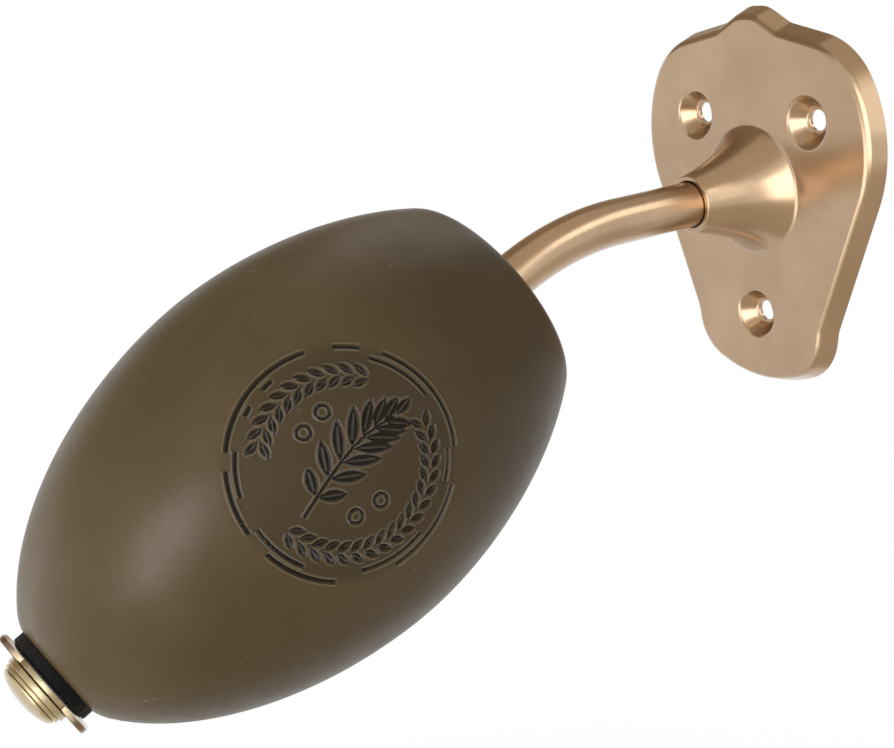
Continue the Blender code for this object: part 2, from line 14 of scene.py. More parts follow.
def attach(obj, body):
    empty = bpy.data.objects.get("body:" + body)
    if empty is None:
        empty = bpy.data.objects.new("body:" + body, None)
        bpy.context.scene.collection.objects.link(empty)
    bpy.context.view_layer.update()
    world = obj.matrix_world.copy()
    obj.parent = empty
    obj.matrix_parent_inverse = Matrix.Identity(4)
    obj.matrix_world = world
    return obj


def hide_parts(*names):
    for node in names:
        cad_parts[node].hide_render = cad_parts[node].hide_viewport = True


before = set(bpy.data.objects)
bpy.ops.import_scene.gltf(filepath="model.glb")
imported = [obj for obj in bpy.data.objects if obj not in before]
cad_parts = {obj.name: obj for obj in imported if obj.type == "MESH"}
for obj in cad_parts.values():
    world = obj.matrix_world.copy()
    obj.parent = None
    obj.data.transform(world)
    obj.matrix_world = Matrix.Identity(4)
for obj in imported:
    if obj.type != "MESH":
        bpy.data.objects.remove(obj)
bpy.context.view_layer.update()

MM = 0.001
FULL_TURN = 2 * math.pi
QUARTER_TURN = math.pi / 2
GAP = 0.3 * MM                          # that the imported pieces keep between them
OVERRUN = 1.0 * MM                      # a cutter runs this far past what it cuts
CUTTER_SKEW = math.radians(1.3)         # keeps a cutter's facets off its neighbour's
WELD = 0.002 * MM

# How finely round shapes are divided
SIDES = 96
TRUMPET_SIDES = 144
SEAT_SIDES = 80
BOSS_SIDES = 64
ARM_SIDES = 72
CORNER_STEPS = 22
HOLLOW_CORNER_STEPS = 8
RIM_STEPS = 10
FOOT_STEPS = 10
FLARE_STEPS = 28
MOUTH_STEPS = 4
LIP_STEPS = 12
BOWL_STEPS = 6
BEND_STEPS = 40
SOAP_ARM_STEPS = 8
SOAP_NUT_STEPS = 6
WING_STEPS = 28
CROWN_STEPS = 6
WING_EDGE_STEPS = 4
DOME_STEPS = 24
EASE_STEPS = 5
EASE_SHARE = 0.48                       # of a profile's edge that one rounding may take
FILLET_ROOM_SHARE = 0.98                # of an outline's edge that its two fillets may take together

# Edges steeper than these stay sharp: on turned pieces, on cut ones and on the soap
SHARP_EDGE = math.radians(30)
SHARP_CUT_EDGE = math.radians(28)
SHARP_SOAP_EDGE = math.radians(60)
FLAT_WEIGHT = 100                       # of the flat faces in a cut piece's normals

# Wall plate
PLATE_HALF_WIDTH = 31.8 * MM
PLATE_HEIGHT = 75.8 * MM
PLATE_DEPTH = 3.8 * MM
PLATE_DRAFT = math.radians(20)
PLATE_EDGE = 1.7 * MM
PLATE_WALL = 1.4 * MM
AXIS_HEIGHT_SHARE = 0.532               # of the plate's height that lies below the swivel axis
PLATE_ABOVE = PLATE_HEIGHT * (1 - AXIS_HEIGHT_SHARE)
PLATE_BELOW = PLATE_HEIGHT * AXIS_HEIGHT_SHARE
# Corners of the right half, from the top: across, up, and fillet. Up is a share of the plate's reach above or
# below the axis, and the other two are shares of its half width.
PLATE_OUTLINE_SHARES = (
    (0.082, 1.000, 0.22),
    (0.270, 0.910, 0.126),
    (0.807, 0.808, 0.50),
    (1.081, 0.279, 0.88),
    (0.600, -0.670, 0.157),
    (0.550, -0.888, 0.346),
    (0.000, -1.050, 0.943),
)

# Screw holes and the dished seats round them
HOLE_SPREAD = 15.6 * MM
HOLE_RISE = 14.2 * MM
HOLE_DROP = 25.6 * MM
HOLES = ((HOLE_SPREAD, HOLE_RISE), (-HOLE_SPREAD, HOLE_RISE), (0, -HOLE_DROP))
HOLE_RADIUS = 2.05 * MM
HOLE_EASE = 0.12 * MM
SEAT_SLOPE = math.radians(53)
SEAT_LIP = 1.3 * MM
SEAT_FLOOR = 0.8 * MM
SEAT_FLAT = 0.6 * MM
SEAT_EASE = 0.5 * MM
BOSS_RADIUS = 5.0 * MM

# Trumpet, and the socket in it
NOSE_REACH = 20.1 * MM
NOSE_RADIUS = 5.6 * MM
NOSE_EASE = 0.3 * MM
NOSE_LEAN = 0.06 * MM
NOSE_SLOPE = math.radians(13)
FOOT_RADIUS = 12.2 * MM
FOOT_FILLET = 1.4 * MM
FOOT_SLOPE = math.radians(43)
FOOT_SINK = 0.02 * MM
SOCKET_RADIUS = 5.0 * MM
SOCKET_FLOOR = 12.1 * MM
MOUTH_RADIUS = 4.56 * MM                # narrower than the socket, for the fine dark gap round the arm
MOUTH_DEPTH = 1.6 * MM
MOUTH_CHAMFER = 0.2 * MM
MOUTH_CHAMFER_DEPTH = 0.15 * MM
WEB_BACK = 9.6 * MM
WEB_HOLE = 4.1 * MM
REAR_ROOM = 6.82 * MM

# Arm
ARM_RADIUS = 4.4 * MM
ARM_BORE = 3.4 * MM
ARM_START = 13.5 * MM
ARM_STRAIGHT = 17.7 * MM
BEND_RADIUS = 58.1 * MM
BEND_ANGLE = math.radians(25.8)
ARM_END_STRAIGHT = 6.1 * MM
ARM_END = -2.6 * MM

# Soap
SOAP_RADIUS = 33.7 * MM
SOAP_HALF_LENGTH = 56.3 * MM            # of the whole egg, before its ends are cut flat
SOAP_TO_ARM = 43.5 * MM
SOAP_TO_NUT = 53.6 * MM
SOAP_LENGTH = SOAP_TO_ARM + SOAP_TO_NUT
SOAP_FULLNESS = 1.87                    # 2 is an ellipse
SOAP_ARM_EDGE = 2.2 * MM
SOAP_NUT_EDGE = 1.2 * MM
SOAP_BORE = 4.3 * MM

# Stamp on the soap: its middle along the spindle and round it, the turn of its design, and its size
STAMP_ALONG = 46.7 * MM
STAMP_TURN = math.radians(20)
STAMP_TILT = math.radians(41.5)
STAMP_RADIUS = 18.1 * MM
STAMP_DEPTH = 0.65 * MM
HOLLOW_DEPTH = 0.12 * MM
FINE_STEP = 0.13 * MM                   # of the mesh under the stamp
FINE_MARGIN = 1.0 * MM
FINE_TURN_SHARE = 1.12
COARSE_STEP = 1.2 * MM
COARSE_TURN_STEP = 1.68 * MM
FACING_SHARE = 0.6                      # of the soap's radius, beyond which a place faces the stamp

# Edges of the stamp's design, in mm. Lips are soap pushed up beside what is pressed in.
HOLLOW_RADIUS = 19.2
HOLLOW_EASE = 3
WALL_WIDTH = 0.16
LIP_WIDTH = 0.22
LINE_LIP_SHARE = 0.25
LEAF_LIP_SHARE = 0.22
LEAF_LIP_AWAY = 0.26
LEAF_END_SHARE = 1.02
LEAF_PLAIN = 0.01                       # a leaf pressed less than this is plain soap
PLAIN = 0.02                            # and so is any relief
RIB_HALF_WIDTH = 0.03
RIB_WALL = 0.16
RIB_END_SHARE = 0.8
RIB_FADE_SHARE = 0.2
RIB_HEIGHT_SHARE = 0.75

# Parts of the stamp's design, in mm and degrees
# Broken rings: radius, line width and drawn arcs
STAMP_RINGS = (
    (17.8, 0.56, ((10, 72), (83, 96), (110, 176), (185, 217), (230, 269), (302, 351))),
    (16.5, 0.50, ((352, 370), (41, 78), (132, 139), (150, 156), (175, 199), (218, 250), (283, 322))),
)
ARC_EASE = 0.8
GARLANDS = ((77, 177, 11), (230, 395, 18))          # start, end, and pairs of leaves
GARLAND_ROWS = ((34, 14.35), (-34, 12.45))          # lean and radius of each leaf of a pair
GARLAND_LEAF = (2.7, 1.05)                          # length and width
TWIG_START = (-6.4, -8.2)
TWIG_RUN = (13.6, 15.6)
TWIG_BOW = 2.6
TWIG_WIDTH = 0.42
TWIG_PAST = 0.1
TWIG_LEAVES = (4.4, 5.6, 6.2, 6.2, 5.8, 5.0, 4.2)   # lengths, from the foot
TWIG_LEAF_WIDTH = 1.75
TWIG_LEAF_AWAY = 0.35
TWIG_LEAF_LEAN = 50
TWIG_LEAF_LEAN_STEP = 3
TOP_LEAF = ((8.6, 9.0), math.radians(52), 3.6, 1.5)
FRUITS = ((1.6, -7.9), (5.4, -5.4), (-6.8, 4.4), (-4.0, 7.6))
FRUIT_RADIUS = 1.05

# Rubber ring, along the spindle from the soap's end face at the arm
RING_RADIUS = 8.35 * MM
RING_LOW = SOAP_LENGTH + 0.02 * MM
RING_LIP = 0.3 * MM                     # it overhangs the soap's end by this
RING_EASE = 0.3 * MM
RING_LIP_EASE = 0.1 * MM
RING_WAVES = ((0.5, 5, 1), (0.3, 11, 0), (0.35, 23, 2))     # share, waves round the rim, and shift
RING_WAVE_SHARE = 0.018
RIM_MARGIN = 0.05 * MM
SOAP_FLAT = 7.9 * MM

# End nut, along the same line
WASHER_THICKNESS = 1.3 * MM
WING_THICKNESS = 1.6 * MM
WING_LOW = SOAP_LENGTH + GAP + WASHER_THICKNESS + GAP
WING_TOP = WING_LOW + WING_THICKNESS
RING_TOP = WING_LOW - 0.04 * MM
WING_SPAN = 20.2 * MM
WING_DISC_RADIUS = 6.0 * MM
WING_EAR_RADIUS = 3.4 * MM
WING_CROWN = 0.7 * MM
WING_EDGE = 0.3 * MM
WING_TURN = math.radians(-62)
# Painted light on the wing: a silvery reflection on its soap side, and brown shade on its ears' rims
PAINTED_REFLECTION_SHARE = 0.9                      # of the crown's height that stays silvery
PAINTED_SHADE_FROM = 6.2 * MM                   # the ears turn brown from here outwards
PAINTED_SHADE_OVER = 1.6 * MM
SPIGOT_BORE = 3.3 * MM
SPIGOT_RADIUS = 4.2 * MM
SPIGOT_EASE = 0.1 * MM
CAP_BASE = WING_TOP + 0.04 * MM
CAP_LOW = WING_TOP + GAP
CAP_RADIUS = 6.4 * MM
CAP_STEP = 0.75 * MM
CAP_STEP_IN = 0.35 * MM
CAP_EASE = 0.16 * MM
CAP_GROOVE = 0.22 * MM
GROOVE_FLOOR_EASE = 0.06 * MM
GROOVE_LIP_EASE = 0.05 * MM
CAP_DOME_RADIUS = 5.7 * MM
CAP_DOME_HEIGHT = 2.0 * MM
CAP_ROOF = 1.2 * MM

# Colours, the darker first where there are two
AGED_BRASS = ((0.405, 0.268, 0.155), (0.545, 0.378, 0.235))
GOLDEN_BRASS = ((0.48, 0.38, 0.20), (0.66, 0.56, 0.36))
# Painted light: a silvery reflection on the wing's soap side, and brown shade on its ears' rims
PAINTED_SILVER_REFLECTION = (0.80, 0.79, 0.77)
PAINTED_BROWN_SHADE = (0.17, 0.10, 0.065)
STEEL = ((0.42, 0.42, 0.41), (0.62, 0.62, 0.60))
NYLON = ((0.018, 0.018, 0.018), (0.035, 0.035, 0.034))
RUBBER = ((0.004, 0.003, 0.003), (0.012, 0.010, 0.009))
SOAP = ((0.066, 0.045, 0.020), (0.094, 0.066, 0.033))
# Painted light on the stamp: shade in its hollow and its pressed lines, and a highlight on its raised lips
HOLLOW_PAINTED_SHADE = (0.014, 0.008, 0.003)
PRESSED_PAINTED_SHADE = (0.006, 0.004, 0.002)
LIP_PAINTED_HIGHLIGHT = (0.17, 0.13, 0.08)
SOAP_SPECK = (0.20, 0.17, 0.12)
WHITE = (1, 1, 1)
BLACK = (0, 0, 0)
PALE_FLOOR = (0.86, 0.86, 0.85)
ROOM = (0.62, 0.61, 0.60)
ROOM_LEVEL = 0.7

# Grain of the finishes: noise scales, per metre
NOISE_ROUGHNESS = 0.55
BRASS_CLOUDS = 60
BRASS_BRUSHING = 1400
BRASS_GRAIN = 4200
GOLDEN_FINER = 2.5                      # the small nut's grain is this much finer
STEEL_SCRATCHES = 900
NYLON_GRAIN = 1200
RUBBER_GRAIN = 1500
SOAP_CLOUDS = 34
SOAP_WAX = 240
SOAP_GRAIN = 1300
SPECKS = 240
SPECK_GROUPS = 95
BRUSHED = (1, 1, 0.05)                  # brushing is drawn out along Z
DRAWN = (1, 0.2, 1)                     # and steel's scratches along Y

# How strongly each mark shows
PATINA = (-0.4, 1.4)
SCRATCH_TONE = 0.6
SCRATCH_TINT = 0.12
# Painted brown shade on the wing's ear rims
PAINTED_SHADE_TINT = 0.85
# Painted shade in the stamp's hollow and pressed lines, and a painted highlight on its lips
HOLLOW_SHADE_TINT = 0.36
PRESSED_SHADE_TINT = 0.92
LIP_HIGHLIGHT_TINT = 2.6
SPECK_TINT = 0.5

# Sheen of the finishes
AGED_ROUGHNESS = 0.24
GOLDEN_ROUGHNESS = 0.32
COAT_WEIGHT = 0.8
COAT_ROUGHNESS = 0.2
NYLON_ROUGHNESS = 0.5
RUBBER_ROUGHNESS = 0.62
DULL_SPECULAR = 0.12
SOAP_SPECULAR = 0.15

# Camera
CAMERA_PLACE = (217.79 * MM, -207.86 * MM, 56.57 * MM)
CAMERA_AZIMUTH = 59.284
CAMERA_ELEVATION = 16.849
CAMERA_ROLL = math.radians(-5.918)
CAMERA_LENS = 59.55
SENSOR_WIDTH = 36
NEAREST = 0.01

# Studio
FLOOR_LEVEL = -0.36
FLOOR_SIZE = 6.0
FLOOR_ROUGHNESS = 0.9
SHADE_MIDDLE = (0, -0.1, FLOOR_LEVEL)   # the floor shows its shading round here, and is white further out
SHADE_NEAR = 0.12
SHADE_FAR = 0.5
WHITE_NEAR = 0.8
ON_PLATE = (0, -0.02, 0)
ON_EGG = (0, -0.115, -0.03)
# Name, azimuth and elevation in degrees, distance, width and height, level, target, and the pieces it lights
LAMPS = (
    ("metal key", 55, 8, 0.60, (0.56, 0.50), 2.6, ON_PLATE, "metal"),
    ("metal streak", 99, 20, 0.60, (0.12, 0.34), 0.95, ON_PLATE, "metal"),
    ("metal side", 134, 38, 0.60, (0.46, 0.22), 2.0, ON_PLATE, "metal"),
    ("metal low", 5, -14, 0.60, (0.46, 0.30), 1.9, ON_PLATE, "metal"),
    ("nut key", 57, 3, 0.60, (0.58, 0.62), 1.7, ON_EGG, "gold"),
    ("soap key", 32, 14, 0.50, (0.16, 0.28), 14.0, ON_EGG, "soft"),
    ("soap fill", -30, -10, 0.60, (0.62, 0.50), 1.4, ON_EGG, "soft"),
    ("soap rim", -140, 48, 0.60, (0.40, 0.40), 1.1, ON_EGG, "soft"),
    ("floor light", 20, 75, 0.90, (0.90, 0.90), 3.8, ON_PLATE, "dim"),
)
# Name, azimuth and elevation in degrees, distance, width and height, and grey
CARDS = (
    ("dark card", -82, 43, 0.60, (1.34, 0.70), (0.36, 0.28, 0.19)),
    ("back card", 165, 30, 0.70, (0.80, 1.10), (0.52, 0.47, 0.40)),
    ("top card", 60, 82, 0.60, (0.90, 0.80), (0.72, 0.64, 0.54)),
    ("low card", 85, -52, 0.28, (0.52, 0.40), (0.66, 0.60, 0.51)),
)


# Mesh helpers

def wall_frame():
    """Local Z runs out of the wall along the swivel axis, and local Y points up."""
    return Matrix.Rotation(QUARTER_TURN, 4, "X")


def spindle_frame():
    """Local Z runs along the spindle from the soap's end face at the arm; local X is the world's."""
    turn = Matrix.Rotation(BEND_ANGLE, 4, "X")
    centre = Vector((0, -BEND_RADIUS, NOSE_REACH + ARM_STRAIGHT))
    face = centre + turn @ Vector((0, BEND_RADIUS, ARM_END_STRAIGHT))
    return wall_frame() @ Matrix.Translation(face) @ turn


def linked(name, data):
    """A new object for the data, in the scene."""
    obj = bpy.data.objects.new(name, data)
    bpy.context.scene.collection.objects.link(obj)
    return obj


def piece(name, bm, place):
    """Makes a smooth-shaded object whose place is in its mesh, as the CAD nodes' are."""
    bmesh.ops.recalc_face_normals(bm, faces=bm.faces)
    bmesh.ops.triangulate(bm, faces=[face for face in bm.faces if len(face.verts) > 4])
    mesh = bpy.data.meshes.new(name)
    bm.to_mesh(mesh)
    bm.free()
    mesh.transform(place)
    mesh.shade_smooth()
    mesh.set_sharp_from_angle(angle=SHARP_EDGE)
    return linked(name, mesh)


def sweep(whole, steps):
    """Values from 0 to the whole, in equal steps."""
    return [whole * k / steps for k in range(steps + 1)]


def ring(bm, points):
    return [bm.verts.new(point) for point in points]


def bridge(bm, lower, upper):
    """Faces between two rings that have one point count, or between a ring and a single point."""
    count = max(len(lower), len(upper))
    for i in range(count):
        j = (i + 1) % count
        if len(lower) == 1:
            bm.faces.new((lower[0], upper[j], upper[i]))
        elif len(upper) == 1:
            bm.faces.new((lower[i], lower[j], upper[0]))
        else:
            bm.faces.new((lower[i], lower[j], upper[j], upper[i]))


def lathe(profile, sides=SIDES):
    """A solid of revolution about Z, from (radius, height) pairs that close on themselves or on the axis."""
    bm = bmesh.new()
    turns = sweep(FULL_TURN, sides)[:-1]
    rings = []
    for radius, height in profile:
        if radius == 0:
            rings.append(ring(bm, [(0, 0, height)]))
        else:
            rings.append(ring(bm, [(radius * math.cos(t), radius * math.sin(t), height) for t in turns]))
    for lower, upper in zip(rings, rings[1:]):
        bridge(bm, lower, upper)
    if profile[0][0] > 0:
        bridge(bm, rings[-1], rings[0])
    return bm


def rod(radius, low, high):
    """The profile of a plain rod."""
    return [(0, low), (radius, low), (radius, high), (0, high)]


def prism(sections):
    """A solid with flat ends, through a list of (points, height) outlines that have one point count."""
    bm = bmesh.new()
    rings = [ring(bm, [(p.x, p.y, height) for p in points]) for points, height in sections]
    bm.faces.new(rings[0])
    for lower, upper in zip(rings, rings[1:]):
        bridge(bm, lower, upper)
    bm.faces.new(rings[-1])
    return bm


def curve_points(start, control, end, steps):
    """Points along a quadratic curve."""
    return [
        tuple((1 - t) ** 2 * a + 2 * t * (1 - t) * b + t * t * c for a, b, c in zip(start, control, end))
        for t in sweep(1, steps)
    ]


def eased(corners):
    """A profile from (radius, height, rounding) corners, each rounded by a short curve."""
    points = []
    for i, (r, z, ease) in enumerate(corners):
        if ease == 0:
            points.append((r, z))
            continue
        here = Vector((r, z))
        before = Vector(corners[i - 1][:2]) - here
        after = Vector(corners[(i + 1) % len(corners)][:2]) - here
        start = here + before.normalized() * min(ease, before.length * EASE_SHARE)
        end = here + after.normalized() * min(ease, after.length * EASE_SHARE)
        points += curve_points(tuple(start), (r, z), tuple(end), EASE_STEPS)
    return points


def carve(obj, steps):
    """Runs exact Booleans on obj, a list of (other object, operation), and clears the others away."""
    for other, operation in steps:
        modifier = obj.modifiers.new(other.name, "BOOLEAN")
        modifier.operation = operation
        modifier.object = other
        modifier.solver = "EXACT"
    graph = bpy.context.evaluated_depsgraph_get()
    mesh = bpy.data.meshes.new_from_object(obj.evaluated_get(graph))
    obj.modifiers.clear()
    obj.data = mesh
    for other, _ in steps:
        bpy.data.objects.remove(other)
    return obj


def settle(obj):
    """Smooth shading of a cut piece that keeps its flat faces flat."""
    obj.data.shade_smooth()
    obj.data.set_sharp_from_angle(angle=SHARP_CUT_EDGE)
    weighted = obj.modifiers.new("flat faces", "WEIGHTED_NORMAL")
    weighted.keep_sharp = True
    weighted.weight = FLAT_WEIGHT


def set_look(obj, look):
    obj.data.materials.clear()
    obj.data.materials.append(look)


def put(obj, body, look, node):
    """Gives the piece its finish and its body, and hides the CAD node that it stands for."""
    set_look(obj, look)
    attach(obj, body)
    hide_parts(node)
    return obj


# Wall plate

def fitted_fillets(corners):
    """Fillet radii at an outline's corners, made smaller where two of them meet on one edge."""
    count = len(corners)
    slopes = []
    for i, (corner, _) in enumerate(corners):
        back = corners[i - 1][0] - corner
        ahead = corners[(i + 1) % count][0] - corner
        slopes.append(math.tan(back.angle(ahead) / 2))
    fitted = [fillet for _, fillet in corners]
    for i in range(count):
        j = (i + 1) % count
        edge = (corners[j][0] - corners[i][0]).length * FILLET_ROOM_SHARE
        used = corners[i][1] / slopes[i] + corners[j][1] / slopes[j]
        if used > edge:
            fitted[i] = min(fitted[i], corners[i][1] * edge / used)
            fitted[j] = min(fitted[j], corners[j][1] * edge / used)
    return fitted


def outline_corner(before, corner, after, radius, inset, steps):
    """The fillet at one corner of an outline that is drawn in by the inset."""
    back = (before - corner).normalized()
    ahead = (after - corner).normalized()
    half = back.angle(ahead) / 2
    convex = back.x * ahead.y - back.y * ahead.x > 0
    centre = corner + (back + ahead).normalized() * radius / math.sin(half)
    first = corner + back * radius / math.tan(half) - centre
    arc = math.pi - 2 * half
    size = radius - inset if convex else radius + inset
    points = []
    for turn in sweep(-arc if convex else arc, steps):
        arm = first.copy()
        arm.rotate(Matrix.Rotation(turn, 2))
        points.append(centre + arm * size / radius)
    return points


def plate_outline(inset, steps=CORNER_STEPS):
    right = []
    for x_share, y_share, fillet_share in PLATE_OUTLINE_SHARES:
        reach = PLATE_ABOVE if y_share > 0 else PLATE_BELOW
        place = Vector((x_share * PLATE_HALF_WIDTH, y_share * reach))
        right.append((place, fillet_share * PLATE_HALF_WIDTH))
    left = [(Vector((-place.x, place.y)), fillet) for place, fillet in reversed(right) if place.x > 0]
    corners = right + left
    points = []
    for i, fillet in enumerate(fitted_fillets(corners)):
        after = corners[(i + 1) % len(corners)][0]
        points += outline_corner(corners[i - 1][0], corners[i][0], after, fillet, inset, steps)
    return points


def plate_rim():
    """The plate's sections, from the wall up the drafted skirt and over its rounded edge."""
    centre_height = PLATE_DEPTH - PLATE_EDGE
    skirt_top = centre_height + PLATE_EDGE * math.sin(PLATE_DRAFT)
    centre_inset = skirt_top * math.tan(PLATE_DRAFT) + PLATE_EDGE * math.cos(PLATE_DRAFT)
    sections = [(plate_outline(0), 0)]
    for turn in sweep(QUARTER_TURN - PLATE_DRAFT, RIM_STEPS):
        lean = PLATE_DRAFT + turn
        outline = plate_outline(centre_inset - PLATE_EDGE * math.cos(lean))
        sections.append((outline, centre_height + PLATE_EDGE * math.sin(lean)))
    return sections


def trumpet_profile():
    """The flare from the plate's face to the mouth: a fillet, and one curve between the two slopes."""
    turn = QUARTER_TURN - FOOT_SLOPE
    fillet_centre = FOOT_RADIUS + FOOT_FILLET * math.sin(turn)
    base = PLATE_DEPTH - FOOT_SINK
    foot = [
        (fillet_centre - FOOT_FILLET * math.sin(t), base + FOOT_FILLET * (1 - math.cos(t)))
        for t in sweep(turn, FOOT_STEPS)
    ]
    start = foot[-1]
    end = (NOSE_RADIUS, NOSE_REACH - NOSE_EASE)
    drop = end[1] - start[1]
    lean = start[0] - end[0] - drop * math.tan(NOSE_SLOPE)
    rise = lean / (math.tan(FOOT_SLOPE) - math.tan(NOSE_SLOPE))
    control = (start[0] - rise * math.tan(FOOT_SLOPE), start[1] + rise)
    return foot + curve_points(start, control, end, FLARE_STEPS)[1:]


def trumpet_solid():
    """The profile of the trumpet before it is bored, with its root inside the plate's face."""
    flare = trumpet_profile()
    root = PLATE_DEPTH - PLATE_WALL / 2
    corner = (NOSE_RADIUS - NOSE_LEAN, NOSE_REACH)
    mouth = curve_points(flare[-1], corner, (NOSE_RADIUS - NOSE_EASE, NOSE_REACH), MOUTH_STEPS)[1:]
    return [(0, root), (flare[0][0], root)] + flare + mouth + [(0, NOSE_REACH)]


def seat_profile():
    """The cutter of a screw seat: a soft lip, a steep cone, a flat ring for the screw's head and the hole."""
    slope = math.tan(SEAT_SLOPE)
    flat_edge = HOLE_RADIUS + SEAT_FLAT
    lip_end = PLATE_DEPTH - SEAT_LIP * (1 - math.cos(SEAT_SLOPE))
    edge = flat_edge + (lip_end - SEAT_FLOOR) / slope + SEAT_LIP * math.sin(SEAT_SLOPE)
    lip = [
        (edge - SEAT_LIP * math.sin(t), PLATE_DEPTH - SEAT_LIP * (1 - math.cos(t)))
        for t in sweep(SEAT_SLOPE, LIP_STEPS)
    ]
    foot = SEAT_EASE / slope
    cone_end = (flat_edge + foot, SEAT_FLOOR + SEAT_EASE)
    bowl = curve_points(cone_end, (flat_edge, SEAT_FLOOR), (flat_edge - foot, SEAT_FLOOR), BOWL_STEPS)
    above = [(0, PLATE_DEPTH + OVERRUN), (edge, PLATE_DEPTH + OVERRUN)]
    hole = [
        (HOLE_RADIUS + HOLE_EASE, SEAT_FLOOR), (HOLE_RADIUS, SEAT_FLOOR - HOLE_EASE),
        (HOLE_RADIUS, -OVERRUN), (0, -OVERRUN),
    ]
    return above + lip + bowl + hole


def at_holes(name, profile, sides, skew=0):
    """A turned cutter at each screw hole."""
    cutters = []
    for n, (x, y) in enumerate(HOLES):
        place = wall_frame() @ Matrix.Translation((x, y, 0)) @ Matrix.Rotation(skew, 4, "Z")
        cutters.append((piece(f"{name}_{n}", lathe(profile, sides), place), "DIFFERENCE"))
    return cutters


def hollow_back():
    """The cutter of the plate's hollow, which leaves the screw bosses standing."""
    ceiling = PLATE_DEPTH - PLATE_WALL
    sections = [
        (plate_outline(PLATE_WALL + height * math.tan(PLATE_DRAFT), HOLLOW_CORNER_STEPS), height)
        for height in (-OVERRUN, ceiling)
    ]
    boss = rod(BOSS_RADIUS, -2 * OVERRUN, ceiling + OVERRUN)
    return carve(piece("hollow", prism(sections), wall_frame()), at_holes("boss", boss, BOSS_SIDES))


def wall_plate(look):
    wall = wall_frame()
    room = FOOT_RADIUS - PLATE_WALL
    rear = [
        (0, -OVERRUN), (room, -OVERRUN), (room, PLATE_DEPTH - PLATE_WALL),
        (REAR_ROOM, WEB_BACK), (0, WEB_BACK),
    ]
    mouth_floor = NOSE_REACH - MOUTH_DEPTH
    chamfer_start = NOSE_REACH - MOUTH_CHAMFER_DEPTH
    wide = MOUTH_RADIUS + MOUTH_CHAMFER
    socket = [
        (0, WEB_BACK - OVERRUN), (WEB_HOLE, WEB_BACK - OVERRUN), (WEB_HOLE, SOCKET_FLOOR),
        (SOCKET_RADIUS, SOCKET_FLOOR), (SOCKET_RADIUS, mouth_floor), (MOUTH_RADIUS, mouth_floor),
        (MOUTH_RADIUS, chamfer_start), (wide, chamfer_start + MOUTH_CHAMFER),
        (wide, NOSE_REACH + OVERRUN), (0, NOSE_REACH + OVERRUN),
    ]
    plate = piece("plate_casting", prism(plate_rim()), wall)
    carve(plate, [
        (piece("trumpet", lathe(trumpet_solid(), TRUMPET_SIDES), wall), "UNION"),
        (hollow_back(), "DIFFERENCE"),
        (piece("rear_room", lathe(rear), wall), "DIFFERENCE"),
        (piece("socket", lathe(socket), wall), "DIFFERENCE"),
    ] + at_holes("seat", seat_profile(), SEAT_SIDES, CUTTER_SKEW))
    settle(plate)
    return put(plate, "wall_mount", look, "wall_plate")


# Arm

def arm_tube(look):
    sections = [Matrix.Translation((0, 0, height)) for height in (ARM_START, NOSE_REACH)]
    bend_start = Matrix.Translation((0, 0, NOSE_REACH + ARM_STRAIGHT))
    centre = Matrix.Translation((0, -BEND_RADIUS, 0))
    for angle in sweep(BEND_ANGLE, BEND_STEPS):
        sections.append(bend_start @ centre @ Matrix.Rotation(angle, 4, "X") @ centre.inverted())
    sections.append(sections[-1] @ Matrix.Translation((0, 0, ARM_END_STRAIGHT + ARM_END)))
    bm = bmesh.new()
    turns = sweep(FULL_TURN, ARM_SIDES)[:-1]
    walls = []
    for radius in (ARM_RADIUS, ARM_BORE):
        circle = [Vector((radius * math.cos(t), radius * math.sin(t), 0)) for t in turns]
        rings = [ring(bm, [section @ point for point in circle]) for section in sections]
        for lower, upper in zip(rings, rings[1:]):
            bridge(bm, lower, upper)
        walls.append(rings)
    bridge(bm, walls[0][0], walls[1][0])
    bridge(bm, walls[0][-1], walls[1][-1])
    return put(piece("arm_pipe", bm, wall_frame()), "arm", look, "arm_tube")


# Stamp on the soap. A relief is 1 where it is pressed in fully, 0 on plain soap, and below 0 on a raised lip.

def smooth(x):
    x = np.clip(x, 0, 1)
    return x * x * (3 - 2 * x)


def turned(u, v, angle):
    """The places (u, v) in axes that are turned by the angle."""
    c, s = math.cos(angle), math.sin(angle)
    return u * c + v * s, v * c - u * s


def stronger(one, other):
    """Of two reliefs, at each place the one further from the plain surface, a pressed one first."""
    high, low = np.maximum(one, other), np.minimum(one, other)
    return np.where(high > PLAIN, high, low)


def leaf(u, v, at, turn, length, width):
    """A pointed leaf with its rib left standing."""
    along, across = turned(u - at[0], v - at[1], turn)
    along = np.abs(along / (length / 2))
    across = np.abs(across)
    inside = width / 2 * (1 - along ** 2) - across
    near = along < LEAF_END_SHARE
    pressed = smooth(inside / WALL_WIDTH + 0.5) * near
    lip = smooth(1 - np.abs(inside + LEAF_LIP_AWAY) / LIP_WIDTH) * near
    rib = smooth(1 - (across - RIB_HALF_WIDTH) / RIB_WALL) * smooth((RIB_END_SHARE - along) / RIB_FADE_SHARE)
    return pressed * (1 - RIB_HEIGHT_SHARE * rib) - LEAF_LIP_SHARE * lip * (pressed < LEAF_PLAIN)


def line(distance, width):
    """A line of that width, with a lip along it."""
    outside = np.abs(distance) - width / 2
    pressed = smooth(0.5 - outside / WALL_WIDTH)
    lip = smooth(1 - np.abs(outside - LIP_WIDTH) / LIP_WIDTH)
    return pressed - LINE_LIP_SHARE * lip * (1 - pressed)


def arcs(turn, shown):
    """1 on the drawn parts of a broken ring, given as (from, to) in degrees, and 0 elsewhere."""
    drawn = np.zeros_like(turn)
    for start, end in shown:
        away = np.abs((turn - (start + end) / 2 + 180) % 360 - 180)
        drawn = np.maximum(drawn, smooth(((end - start) / 2 - away) / ARC_EASE + 0.5))
    return drawn


